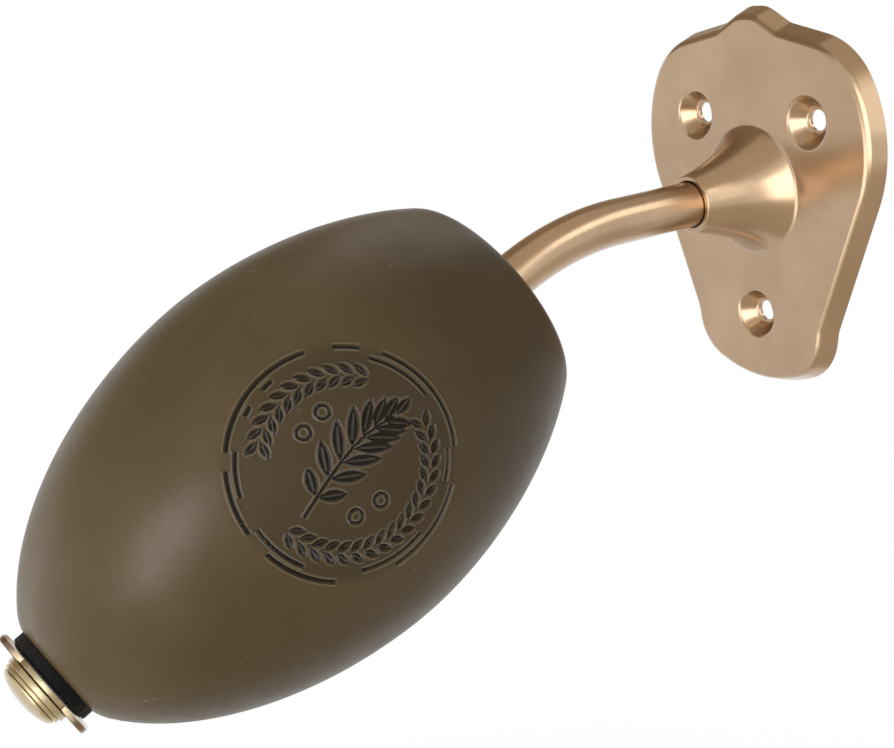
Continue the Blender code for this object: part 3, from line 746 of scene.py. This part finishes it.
def garland(u, v, start, end, count):
    """Pointed leaves in leaning pairs round the stamp, between two angles in degrees."""
    relief = np.zeros_like(u)
    for k in range(count):
        t = math.radians(start + (end - start) * (k + 0.5) / count)
        for lean, radius in GARLAND_ROWS:
            at = (radius * math.cos(t), radius * math.sin(t))
            relief = stronger(relief, leaf(u, v, at, t + QUARTER_TURN - math.radians(lean), *GARLAND_LEAF))
    return relief


def twig_points():
    """The bowed twig, with a point at its foot, at each pair of leaves and at its top."""
    (x, y), (across, up) = TWIG_START, TWIG_RUN
    return [
        (x + across * t, y + up * t + TWIG_BOW * math.sin(math.pi * t))
        for t in sweep(1, len(TWIG_LEAVES) + 1)
    ]


def sprig(u, v):
    """A bowed olive twig with paired leaves and fruit."""
    relief = np.zeros_like(u)
    twig = twig_points()
    headings = []
    for (x0, y0), (x1, y1) in zip(twig, twig[1:]):
        headings.append(math.atan2(y1 - y0, x1 - x0))
        along, across = turned(u - x0, v - y0, headings[-1])
        inside = (along > -TWIG_PAST) & (along < math.hypot(x1 - x0, y1 - y0) + TWIG_PAST)
        relief = stronger(relief, line(across, TWIG_WIDTH) * inside)
    for k, (length, (x, y), heading) in enumerate(zip(TWIG_LEAVES, twig[1:], headings[1:])):
        for side in (1, -1):
            lean = heading + side * math.radians(TWIG_LEAF_LEAN - TWIG_LEAF_LEAN_STEP * k)
            reach = length / 2 + TWIG_LEAF_AWAY
            at = (x + reach * math.cos(lean), y + reach * math.sin(lean))
            relief = stronger(relief, leaf(u, v, at, lean, length, TWIG_LEAF_WIDTH))
    relief = stronger(relief, leaf(u, v, *TOP_LEAF))
    for x, y in FRUITS:
        relief = stronger(relief, line(np.hypot(u - x, v - y) - FRUIT_RADIUS, TWIG_WIDTH))
    return relief


def stamp_relief(along, across):
    """A pressed medallion: a broken double ring, a leafy garland in two parts and an olive sprig."""
    u, v = turned(along, across, -STAMP_TILT)
    rho = np.hypot(u, v)
    turn = np.degrees(np.arctan2(v, u)) % 360
    relief = np.zeros_like(u)
    for radius, width, shown in STAMP_RINGS:
        relief = stronger(relief, line(rho - radius, width) * arcs(turn, shown))
    for start, end, count in GARLANDS:
        relief = stronger(relief, garland(u, v, start, end, count))
    return stronger(relief, sprig(u, v))


# Soap

def soap_radius_at(offset):
    """The egg's radius at a distance along its axis from its widest point."""
    reach = np.abs(offset) / SOAP_HALF_LENGTH
    return SOAP_RADIUS * (1 - reach ** SOAP_FULLNESS) ** (1 / SOAP_FULLNESS)


def graded(low, high, fine_low, fine_high, fine, coarse):
    """Places from low to high, close together between fine_low and fine_high."""
    def spread(a, b, step):
        return np.linspace(a, b, max(2, int(round((b - a) / step)) + 1))
    return np.concatenate([
        spread(low, fine_low, coarse)[:-1],
        spread(fine_low, fine_high, fine)[:-1],
        spread(fine_high, high, coarse),
    ])


def soap_profile():
    """(radius, height) pairs round the egg's section, from its face at the arm and back through the bore."""
    reach = STAMP_RADIUS + FINE_MARGIN
    low, high = SOAP_ARM_EDGE, SOAP_LENGTH - SOAP_NUT_EDGE
    heights = graded(low, high, STAMP_ALONG - reach, STAMP_ALONG + reach, FINE_STEP, COARSE_STEP)
    body = [(soap_radius_at(height - SOAP_TO_ARM), height) for height in heights]
    flat_arm, flat_nut = soap_radius_at(SOAP_TO_ARM), soap_radius_at(SOAP_TO_NUT)
    arm_edge = curve_points((flat_arm - SOAP_ARM_EDGE, 0), (flat_arm, 0), body[0], SOAP_ARM_STEPS)
    nut_face = (flat_nut - SOAP_NUT_EDGE, SOAP_LENGTH)
    nut_edge = curve_points(body[-1], (flat_nut, SOAP_LENGTH), nut_face, SOAP_NUT_STEPS)
    return np.array(arm_edge[:-1] + body + nut_edge[1:] + [(SOAP_BORE, SOAP_LENGTH), (SOAP_BORE, 0)])


def round_axis(out, up, turns):
    """Vectors that point by those amounts outwards and up, a row for each, at each turn about the axis."""
    return np.stack([out * np.cos(turns), out * np.sin(turns), up + 0 * turns], -1)


def stamp_marks(points):
    """At each point the stamp's relief, and from 0 to 1 the shallow hollow that lies under all of it. The
    soap's finish paints shade and a highlight from these.
    """
    middle_radius = soap_radius_at(STAMP_ALONG - SOAP_TO_ARM)
    outward = np.array([math.cos(STAMP_TURN), math.sin(STAMP_TURN), 0])
    around = np.array([-math.sin(STAMP_TURN), math.cos(STAMP_TURN), 0])
    middle = outward * middle_radius + np.array([0, 0, STAMP_ALONG])
    across = (points - middle) @ around / MM
    along = (STAMP_ALONG - points[..., 2]) / MM
    facing = points @ outward > middle_radius * FACING_SHARE
    hollow = smooth((HOLLOW_RADIUS - np.hypot(along, across)) / HOLLOW_EASE)
    return stamp_relief(along, across) * facing, hollow * facing


def grid_mesh(name, points):
    """A closed mesh on a grid of points whose rows and columns both run round."""
    rows, columns = points.shape[:2]
    index = np.arange(rows * columns).reshape(rows, columns)
    ahead = np.roll(index, -1, 1)
    below = np.roll(index, -1, 0)
    quads = np.stack([index, ahead, np.roll(below, -1, 1), below], -1).reshape(-1, 4)
    mesh = bpy.data.meshes.new(name)
    mesh.from_pydata(points.reshape(-1, 3), [], quads)
    return mesh


def soap_bar(look):
    """The egg, turned on a grid that is fine under the stamp, with the stamp pressed into it."""
    profile = soap_profile()
    half_turn = FINE_TURN_SHARE * STAMP_RADIUS / SOAP_RADIUS
    fine, coarse = FINE_STEP / SOAP_RADIUS, COARSE_TURN_STEP / SOAP_RADIUS
    turns = graded(-math.pi, math.pi, -half_turn, half_turn, fine, coarse)[:-1] + STAMP_TURN
    points = round_axis(profile[:, :1], profile[:, 1:], turns)
    relief, hollow = stamp_marks(points)
    step_r, step_h = np.gradient(profile, axis=0).T[:, :, None]
    size = np.hypot(step_r, step_h)
    normal = round_axis(step_h / size, -step_r / size, turns)
    points = points - normal * (relief * STAMP_DEPTH + hollow * HOLLOW_DEPTH)[..., None]
    mesh = grid_mesh("soap_egg", points)
    # These attributes also carry the stamp's painted shade and painted highlight to the soap's finish
    for name, values in (("pressed", relief), ("hollow", hollow)):
        attribute = mesh.attributes.new(name, "FLOAT", "POINT")
        attribute.data.foreach_set("value", values.astype(np.float32).ravel())
    mesh.transform(spindle_frame())
    mesh.shade_smooth()
    mesh.set_sharp_from_angle(angle=SHARP_SOAP_EDGE)
    return put(linked("soap_egg", mesh), "soap", look, "soap_bar")


# End nut

def rubber_ring(look):
    """The washer, squeezed out against the soap's worn end so that its rim is a little uneven."""
    bm = lathe(eased([
        (SPIGOT_BORE, RING_LOW, 0), (SPIGOT_BORE, RING_TOP, 0), (RING_RADIUS, RING_TOP, RING_EASE),
        (RING_RADIUS, RING_LOW - RING_LIP, RING_LIP_EASE), (SOAP_FLAT, RING_LOW, 0),
    ]))
    for vert in bm.verts:
        turn = math.atan2(vert.co.y, vert.co.x)
        if math.hypot(vert.co.x, vert.co.y) > SOAP_FLAT + RIM_MARGIN:
            wave = sum(share * math.sin(waves * turn + shift) for share, waves, shift in RING_WAVES)
            vert.co.xy *= 1 + RING_WAVE_SHARE * wave
    return put(piece("rubber_ring", bm, spindle_frame()), "keeper", look, "end_washer")


def wing_outline(inset):
    """A disc with an ear at either side."""
    disc = WING_DISC_RADIUS - inset
    ear = WING_EAR_RADIUS - inset
    shoulder = math.asin(ear / disc)
    ear_centre = WING_SPAN / 2 - WING_EAR_RADIUS
    points = []
    for side in (0, math.pi):
        for turn in sweep(math.pi, WING_STEPS):
            t = side - QUARTER_TURN + turn
            points.append(Vector((ear_centre * math.cos(side) + ear * math.cos(t), ear * math.sin(t))))
        for turn in sweep(math.pi - 2 * shoulder, WING_STEPS):
            t = side + shoulder + turn
            points.append(Vector((disc * math.cos(t), disc * math.sin(t))))
    return points


def wing_painted_light(at):
    """1 on the soap side, which gets a painted silvery reflection, and down to -1 on the ears' rims, which get
    painted brown shade.
    """
    if at.z < WING_LOW + PAINTED_REFLECTION_SHARE * WING_CROWN:
        return 1.0
    return -min(1.0, max(0.0, (at.xy.length - PAINTED_SHADE_FROM) / PAINTED_SHADE_OVER))


def wing_plate(look):
    sections = []
    for t in sweep(QUARTER_TURN, CROWN_STEPS):
        outline = wing_outline(WING_CROWN * (1 - math.sin(t)))
        sections.append((outline, WING_LOW + WING_CROWN * (1 - math.cos(t))))
    for t in sweep(QUARTER_TURN, WING_EDGE_STEPS):
        outline = wing_outline(WING_EDGE * (1 - math.cos(t)))
        sections.append((outline, WING_TOP - WING_EDGE * (1 - math.sin(t))))
    place = spindle_frame()
    plate = piece("thumb_plate", prism(sections), place @ Matrix.Rotation(WING_TURN, 4, "Z"))
    hole = rod(SPIGOT_RADIUS + GAP, WING_LOW - OVERRUN, WING_TOP + OVERRUN)
    carve(plate, [(piece("hole", lathe(hole), place), "DIFFERENCE")])
    settle(plate)
    back = place.inverted()
    # Painted light: a silvery reflection on the soap side, and brown shade on the ears' rims
    painted_light = plate.data.attributes.new("painted_light", "FLOAT", "POINT")
    painted_light.data.foreach_set("value", [wing_painted_light(back @ vert.co) for vert in plate.data.vertices])
    return put(plate, "nut", look, "wing_plate")


def cap_nut(look):
    step_top = CAP_LOW + CAP_STEP
    dome_base = step_top + CAP_STEP
    second = CAP_RADIUS - CAP_STEP_IN
    blind_end = dome_base + CAP_DOME_HEIGHT - CAP_ROOF
    outside = eased([
        (0, blind_end, 0), (SPIGOT_BORE, blind_end, 0), (SPIGOT_BORE, WING_LOW, 0),
        (SPIGOT_RADIUS, WING_LOW, SPIGOT_EASE), (SPIGOT_RADIUS, CAP_BASE, 0),
        (CAP_RADIUS, CAP_BASE, CAP_EASE), (CAP_RADIUS, step_top, CAP_EASE),
        (second - CAP_GROOVE, step_top, GROOVE_FLOOR_EASE), (second, step_top + CAP_GROOVE, GROOVE_LIP_EASE),
        (second, dome_base, CAP_EASE), (CAP_DOME_RADIUS - CAP_GROOVE, dome_base, GROOVE_FLOOR_EASE),
    ])
    rise = CAP_DOME_HEIGHT - CAP_GROOVE
    dome = [
        (CAP_DOME_RADIUS * math.cos(t), dome_base + CAP_GROOVE + rise * math.sin(t))
        for t in sweep(QUARTER_TURN, DOME_STEPS)[:-1]
    ]
    top = (0, dome_base + CAP_DOME_HEIGHT)
    solid = lathe(outside + dome + [top])
    return put(piece("domed_nut", solid, spindle_frame()), "nut", look, "cap_nut")


# Finish helpers

def shader_of(name):
    made = bpy.data.materials.new(name)
    made.use_nodes = True
    return made, made.node_tree, made.node_tree.nodes["Principled BSDF"]


def add(tree, kind, inputs=None, **settings):
    """A node with its settings and input values; an input given as a socket is linked."""
    node = tree.nodes.new(kind)
    for name, value in settings.items():
        setattr(node, name, value)
    for name, value in (inputs or {}).items():
        if isinstance(value, bpy.types.NodeSocket):
            tree.links.new(value, node.inputs[name])
        else:
            node.inputs[name].default_value = value
    return node


def arithmetic(tree, operation, one, other):
    return add(tree, "ShaderNodeMath", {0: one, 1: other}, operation=operation).outputs[0]


def noise(tree, scale, stretch=(1, 1, 1), detail=4.0):
    """Noise in the piece's own space, stretched along the axes with small factors."""
    place = add(tree, "ShaderNodeTexCoord")
    mapping = add(tree, "ShaderNodeMapping", {"Vector": place.outputs["Object"], "Scale": stretch})
    made = add(tree, "ShaderNodeTexNoise", {
        "Vector": mapping.outputs["Vector"], "Scale": scale, "Detail": detail, "Roughness": NOISE_ROUGHNESS,
    })
    return made.outputs["Fac"]


def ramp(tree, value, low, high):
    """A colour ramp between two (position, colour) stops."""
    made = add(tree, "ShaderNodeValToRGB", {"Fac": value})
    for point, (position, colour) in zip(made.color_ramp.elements, (low, high)):
        point.position = position
        point.color = (*colour, 1)
    return made.outputs["Color"]


def mixed(tree, factor, one, other):
    """The colour one where the factor is 0, and the other where it is 1."""
    made = add(tree, "ShaderNodeMix", data_type="RGBA", clamp_factor=True)
    for name, value in (("Factor", factor), ("A", one), ("B", other)):
        socket = next(s for s in made.inputs if s.name == name and s.enabled)
        if isinstance(value, bpy.types.NodeSocket):
            tree.links.new(value, socket)
        else:
            socket.default_value = (*value, 1)
    return next(s for s in made.outputs if s.enabled)


def span(tree, value, low, high):
    """The value's range from 0 to 1 laid out from low to high."""
    made = add(tree, "ShaderNodeMapRange", {"Value": value, "To Min": low, "To Max": high})
    return made.outputs["Result"]


def mark(tree, name):
    """The mesh's attribute of that name."""
    return add(tree, "ShaderNodeAttribute", attribute_name=name).outputs["Fac"]


def bump(tree, height, strength, distance, under=None):
    inputs = {"Height": height, "Strength": strength, "Distance": distance}
    if under is not None:
        inputs["Normal"] = under
    return add(tree, "ShaderNodeBump", inputs).outputs["Normal"]


# Finishes

def brass(name, colours, rough, finer=1.0):
    """Satin lacquered brass: cloudy patina, faint brushing and grain; a painted silvery reflection and painted
    brown shade where marked.
    """
    made, tree, shader = shader_of(name)
    dark, light = colours
    scratched = tuple(SCRATCH_TONE * part for part in dark)
    clouds = noise(tree, BRASS_CLOUDS * finer, detail=5)
    brushing = noise(tree, BRASS_BRUSHING * finer, BRUSHED, detail=3)
    grain = noise(tree, BRASS_GRAIN * finer, detail=2)
    tone = mixed(tree, span(tree, clouds, *PATINA), dark, light)
    tone = mixed(tree, span(tree, brushing, 0.0, SCRATCH_TINT), tone, scratched)
    # Painted light on the wing: a silvery reflection on its soap side, and brown shade on its ears' rims
    painted_light = mark(tree, "painted_light")
    tone = mixed(tree, painted_light, tone, PAINTED_SILVER_REFLECTION)
    tone = mixed(tree, arithmetic(tree, "MULTIPLY", painted_light, -PAINTED_SHADE_TINT), tone, PAINTED_BROWN_SHADE)
    tree.links.new(tone, shader.inputs["Base Color"])
    shader.inputs["Metallic"].default_value = 1.0
    tree.links.new(span(tree, brushing, rough - 0.04, rough + 0.06), shader.inputs["Roughness"])
    shader.inputs["Coat Weight"].default_value = COAT_WEIGHT
    shader.inputs["Coat Roughness"].default_value = COAT_ROUGHNESS
    fine = bump(tree, grain, 0.01, 0.02 * MM)
    tree.links.new(bump(tree, brushing, 0.012, 0.02 * MM, fine), shader.inputs["Normal"])
    return made


def steel():
    """Plain steel with drawn scratches."""
    made, tree, shader = shader_of("plain steel")
    dark, light = STEEL
    scratches = noise(tree, STEEL_SCRATCHES, DRAWN)
    tree.links.new(ramp(tree, scratches, (0.3, dark), (0.7, light)), shader.inputs["Base Color"])
    shader.inputs["Metallic"].default_value = 1.0
    tree.links.new(span(tree, scratches, 0.24, 0.42), shader.inputs["Roughness"])
    return made


def dull(name, colours, rough, scale):
    """Nylon and rubber: near black, with a fine matt grain."""
    made, tree, shader = shader_of(name)
    dark, light = colours
    grain = noise(tree, scale, detail=3)
    tree.links.new(ramp(tree, grain, (0.3, dark), (0.75, light)), shader.inputs["Base Color"])
    tree.links.new(span(tree, grain, rough - 0.08, rough + 0.1), shader.inputs["Roughness"])
    shader.inputs["Specular IOR Level"].default_value = DULL_SPECULAR
    tree.links.new(bump(tree, grain, 0.15, 0.05 * MM), shader.inputs["Normal"])
    return made


def specks(tree):
    """1 on small dots that lie in scattered groups."""
    place = add(tree, "ShaderNodeTexCoord")
    cells = add(tree, "ShaderNodeTexVoronoi", {"Vector": place.outputs["Object"], "Scale": SPECKS})
    dots = ramp(tree, cells.outputs["Distance"], (0.04, WHITE), (0.12, BLACK))
    groups = ramp(tree, noise(tree, SPECK_GROUPS, detail=2), (0.56, BLACK), (0.62, WHITE))
    return arithmetic(tree, "MULTIPLY", dots, groups)


def soap():
    """Dark olive soap: cloudy, faintly waxy, with specks; painted shade in the stamp's hollow and pressed
    lines, and a painted highlight on its raised lips.
    """
    made, tree, shader = shader_of("olive soap")
    dark, light = SOAP
    clouds = noise(tree, SOAP_CLOUDS, detail=6)
    grain = noise(tree, SOAP_GRAIN, detail=3)
    wax = noise(tree, SOAP_WAX, detail=4)
    pressed = mark(tree, "pressed")
    tone = ramp(tree, clouds, (0.30, dark), (0.72, light))
    # Painted shade in the stamp's shallow hollow
    tone = mixed(tree, span(tree, mark(tree, "hollow"), 0.0, HOLLOW_SHADE_TINT), tone, HOLLOW_PAINTED_SHADE)
    # Painted shade in the stamp's pressed lines
    tone = mixed(tree, span(tree, pressed, 0.0, PRESSED_SHADE_TINT), tone, PRESSED_PAINTED_SHADE)
    # Painted highlight on the stamp's raised lips
    tone = mixed(tree, arithmetic(tree, "MULTIPLY", pressed, -LIP_HIGHLIGHT_TINT), tone, LIP_PAINTED_HIGHLIGHT)
    tone = mixed(tree, span(tree, specks(tree), 0.0, SPECK_TINT), tone, SOAP_SPECK)
    tree.links.new(tone, shader.inputs["Base Color"])
    shader.inputs["Specular IOR Level"].default_value = SOAP_SPECULAR
    tree.links.new(span(tree, wax, 0.28, 0.44), shader.inputs["Roughness"])
    fine = bump(tree, grain, 0.12, 0.08 * MM)
    tree.links.new(bump(tree, wax, 0.16, 0.4 * MM, fine), shader.inputs["Normal"])
    return made


# CAD nodes that stay

def gentle_edges():
    """Fine shading for a CAD node: its facets are welded, and smoothed where they meet gently."""
    tree = bpy.data.node_groups.new("gentle edges", "GeometryNodeTree")
    for way in ("INPUT", "OUTPUT"):
        tree.interface.new_socket("Geometry", in_out=way, socket_type="NodeSocketGeometry")
    start = add(tree, "NodeGroupInput")
    weld = add(tree, "GeometryNodeMergeByDistance", {"Geometry": start.outputs[0], "Distance": WELD})
    faces = add(tree, "GeometryNodeSetShadeSmooth", {"Geometry": weld.outputs["Geometry"]})
    angle = add(tree, "GeometryNodeInputMeshEdgeAngle")
    sharp = add(tree, "FunctionNodeCompare", {0: angle.outputs["Unsigned Angle"], 1: SHARP_EDGE},
                operation="GREATER_THAN")
    edges = add(tree, "GeometryNodeSetShadeSmooth", {
        "Geometry": faces.outputs["Geometry"], "Selection": sharp.outputs["Result"], "Shade Smooth": False,
    }, domain="EDGE")
    end = add(tree, "NodeGroupOutput")
    tree.links.new(edges.outputs["Geometry"], end.inputs[0])
    return tree


def keep_node(name, look, edges):
    """Gives a CAD node its finish and its fine shading."""
    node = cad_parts[name]
    set_look(node, look)
    node.modifiers.new("gentle edges", "NODES").node_group = edges
    return node


# Studio

def direction(azimuth, elevation):
    a, e = math.radians(azimuth), math.radians(elevation)
    return Vector((math.sin(a) * math.cos(e), -math.cos(a) * math.cos(e), math.sin(e)))


def softbox(name, azimuth, elevation, distance, size, level, target, pieces):
    """An area lamp of that brightness, white being 1, which faces the target and lights the given pieces."""
    data = bpy.data.lights.new(name, "AREA")
    data.shape = "RECTANGLE"
    data.size, data.size_y = size
    data.energy = level * math.pi * size[0] * size[1]
    away = direction(azimuth, elevation)
    lamp = linked(name, data)
    lamp.location = Vector(target) + away * distance
    lamp.rotation_mode = "QUATERNION"
    lamp.rotation_quaternion = away.to_track_quat("Z", "Y")
    lamp.visible_camera = False
    receivers = bpy.data.collections.new(f"lit by {name}")
    for obj in pieces:
        receivers.objects.link(obj)
    lamp.light_linking.receiver_collection = receivers


def sheet(name, size, place):
    """A flat rectangle in the XY plane of the given place."""
    bm = bmesh.new()
    bmesh.ops.create_grid(bm, x_segments=1, y_segments=1, size=0.5)
    bmesh.ops.scale(bm, vec=(*size, 1), verts=bm.verts)
    return piece(name, bm, place)


def card(name, azimuth, elevation, distance, size, grey):
    """A studio card that only reflections see."""
    away = direction(azimuth, elevation)
    turn = away.to_track_quat("Z", "Y").to_matrix().to_4x4()
    flat = sheet(name, size, Matrix.Translation(Vector(ON_PLATE) + away * distance) @ turn)
    made, tree, _ = shader_of(name)
    glow = add(tree, "ShaderNodeEmission", {"Color": (*grey, 1), "Strength": 1.0})
    tree.links.new(glow.outputs[0], tree.nodes["Material Output"].inputs["Surface"])
    set_look(flat, made)
    flat.visible_camera = False
    flat.visible_diffuse = False
    flat.visible_shadow = False


def shown_rays(tree):
    """1 for camera, glossy and transmission rays, which see the white background, and 0 for the rest."""
    ray = add(tree, "ShaderNodeLightPath")
    first = arithmetic(tree, "MAXIMUM", ray.outputs["Is Camera Ray"], ray.outputs["Is Glossy Ray"])
    return arithmetic(tree, "MAXIMUM", first, ray.outputs["Is Transmission Ray"])


def show_mix(tree, factor, one, other, output):
    """Sends a mix of two shaders to the output node."""
    choose = add(tree, "ShaderNodeMixShader", {"Fac": factor, 1: one.outputs[0], 2: other.outputs[0]})
    tree.links.new(choose.outputs[0], tree.nodes[output].inputs["Surface"])


def grey_room():
    """A soft grey light from all round, which rays that show the background see as white."""
    world = bpy.data.worlds.new("studio")
    bpy.context.scene.world = world
    world.use_nodes = True
    tree = world.node_tree
    back = tree.nodes["Background"]
    back.inputs["Color"].default_value = (*ROOM, 1)
    back.inputs["Strength"].default_value = ROOM_LEVEL
    white = add(tree, "ShaderNodeBackground", {"Color": (*WHITE, 1), "Strength": 1.0})
    show_mix(tree, shown_rays(tree), back, white, "World Output")


def pale_floor():
    """The floor, which shows the holder's shadow and fades to white away from it."""
    made, tree, shader = shader_of("pale floor")
    shader.inputs["Base Color"].default_value = (*PALE_FLOOR, 1)
    shader.inputs["Roughness"].default_value = FLOOR_ROUGHNESS
    glow = add(tree, "ShaderNodeEmission", {"Color": (*WHITE, 1), "Strength": 1.0})
    place = add(tree, "ShaderNodeTexCoord")
    points = {0: place.outputs["Object"], 1: SHADE_MIDDLE}
    far = add(tree, "ShaderNodeVectorMath", points, operation="DISTANCE")
    fade = add(tree, "ShaderNodeMapRange", {
        "Value": far.outputs["Value"], "From Min": SHADE_NEAR, "From Max": SHADE_FAR,
        "To Min": WHITE_NEAR, "To Max": 1.0,
    })
    share = arithmetic(tree, "MULTIPLY", shown_rays(tree), fade.outputs["Result"])
    show_mix(tree, share, shader, glow, "Material Output")
    floor = sheet("floor", (FLOOR_SIZE, FLOOR_SIZE), Matrix.Translation((0, 0, FLOOR_LEVEL)))
    set_look(floor, made)
    return floor


def studio(lit):
    """The room, the floor, the lamps and the cards; lit holds the pieces that each kind of lamp lights."""
    grey_room()
    lit["dim"].append(pale_floor())
    for name, azimuth, elevation, distance, size, level, target, kind in LAMPS:
        softbox(name, azimuth, elevation, distance, size, level, target, lit[kind])
    for values in CARDS:
        card(*values)
    bpy.context.scene.view_settings.view_transform = "Standard"


def camera():
    """The camera where the photograph was taken from, level but for its roll."""
    azimuth = math.radians(CAMERA_AZIMUTH)
    back = direction(CAMERA_AZIMUTH, CAMERA_ELEVATION)
    right = Vector((math.cos(azimuth), math.sin(azimuth), 0))
    up = back.cross(right)
    turned_right = math.cos(CAMERA_ROLL) * right + math.sin(CAMERA_ROLL) * up
    turned_up = math.cos(CAMERA_ROLL) * up - math.sin(CAMERA_ROLL) * right
    data = bpy.data.cameras.new("camera")
    data.sensor_fit = "HORIZONTAL"
    data.sensor_width = SENSOR_WIDTH
    data.lens = CAMERA_LENS
    data.clip_start = NEAREST
    made = linked("camera", data)
    turn = Matrix((turned_right, turned_up, back)).transposed().to_4x4()
    made.matrix_world = Matrix.Translation(CAMERA_PLACE) @ turn
    bpy.context.scene.camera = made


def build():
    aged = brass("aged brass", AGED_BRASS, AGED_ROUGHNESS)
    golden = brass("golden brass", GOLDEN_BRASS, GOLDEN_ROUGHNESS, GOLDEN_FINER)
    metal = [wall_plate(aged), arm_tube(aged)]
    gold = [wing_plate(golden), cap_nut(golden)]
    egg = soap_bar(soap())
    egg.visible_glossy = False
    ring_of_rubber = rubber_ring(dull("black rubber", RUBBER, RUBBER_ROUGHNESS, RUBBER_GRAIN))
    plain = steel()
    looks = {
        "pivot_bush": dull("black nylon", NYLON, NYLON_ROUGHNESS, NYLON_GRAIN),
        "arm_stud": aged, "stop_collar": aged, "spindle": aged,
        "thrust_washer": plain, "spring_washer": plain, "pivot_nut": plain,
    }
    edges = gentle_edges()
    metal += [keep_node(name, look, edges) for name, look in looks.items()]
    studio({"metal": metal, "gold": gold, "soft": [egg], "dim": [ring_of_rubber]})
    camera()


build()
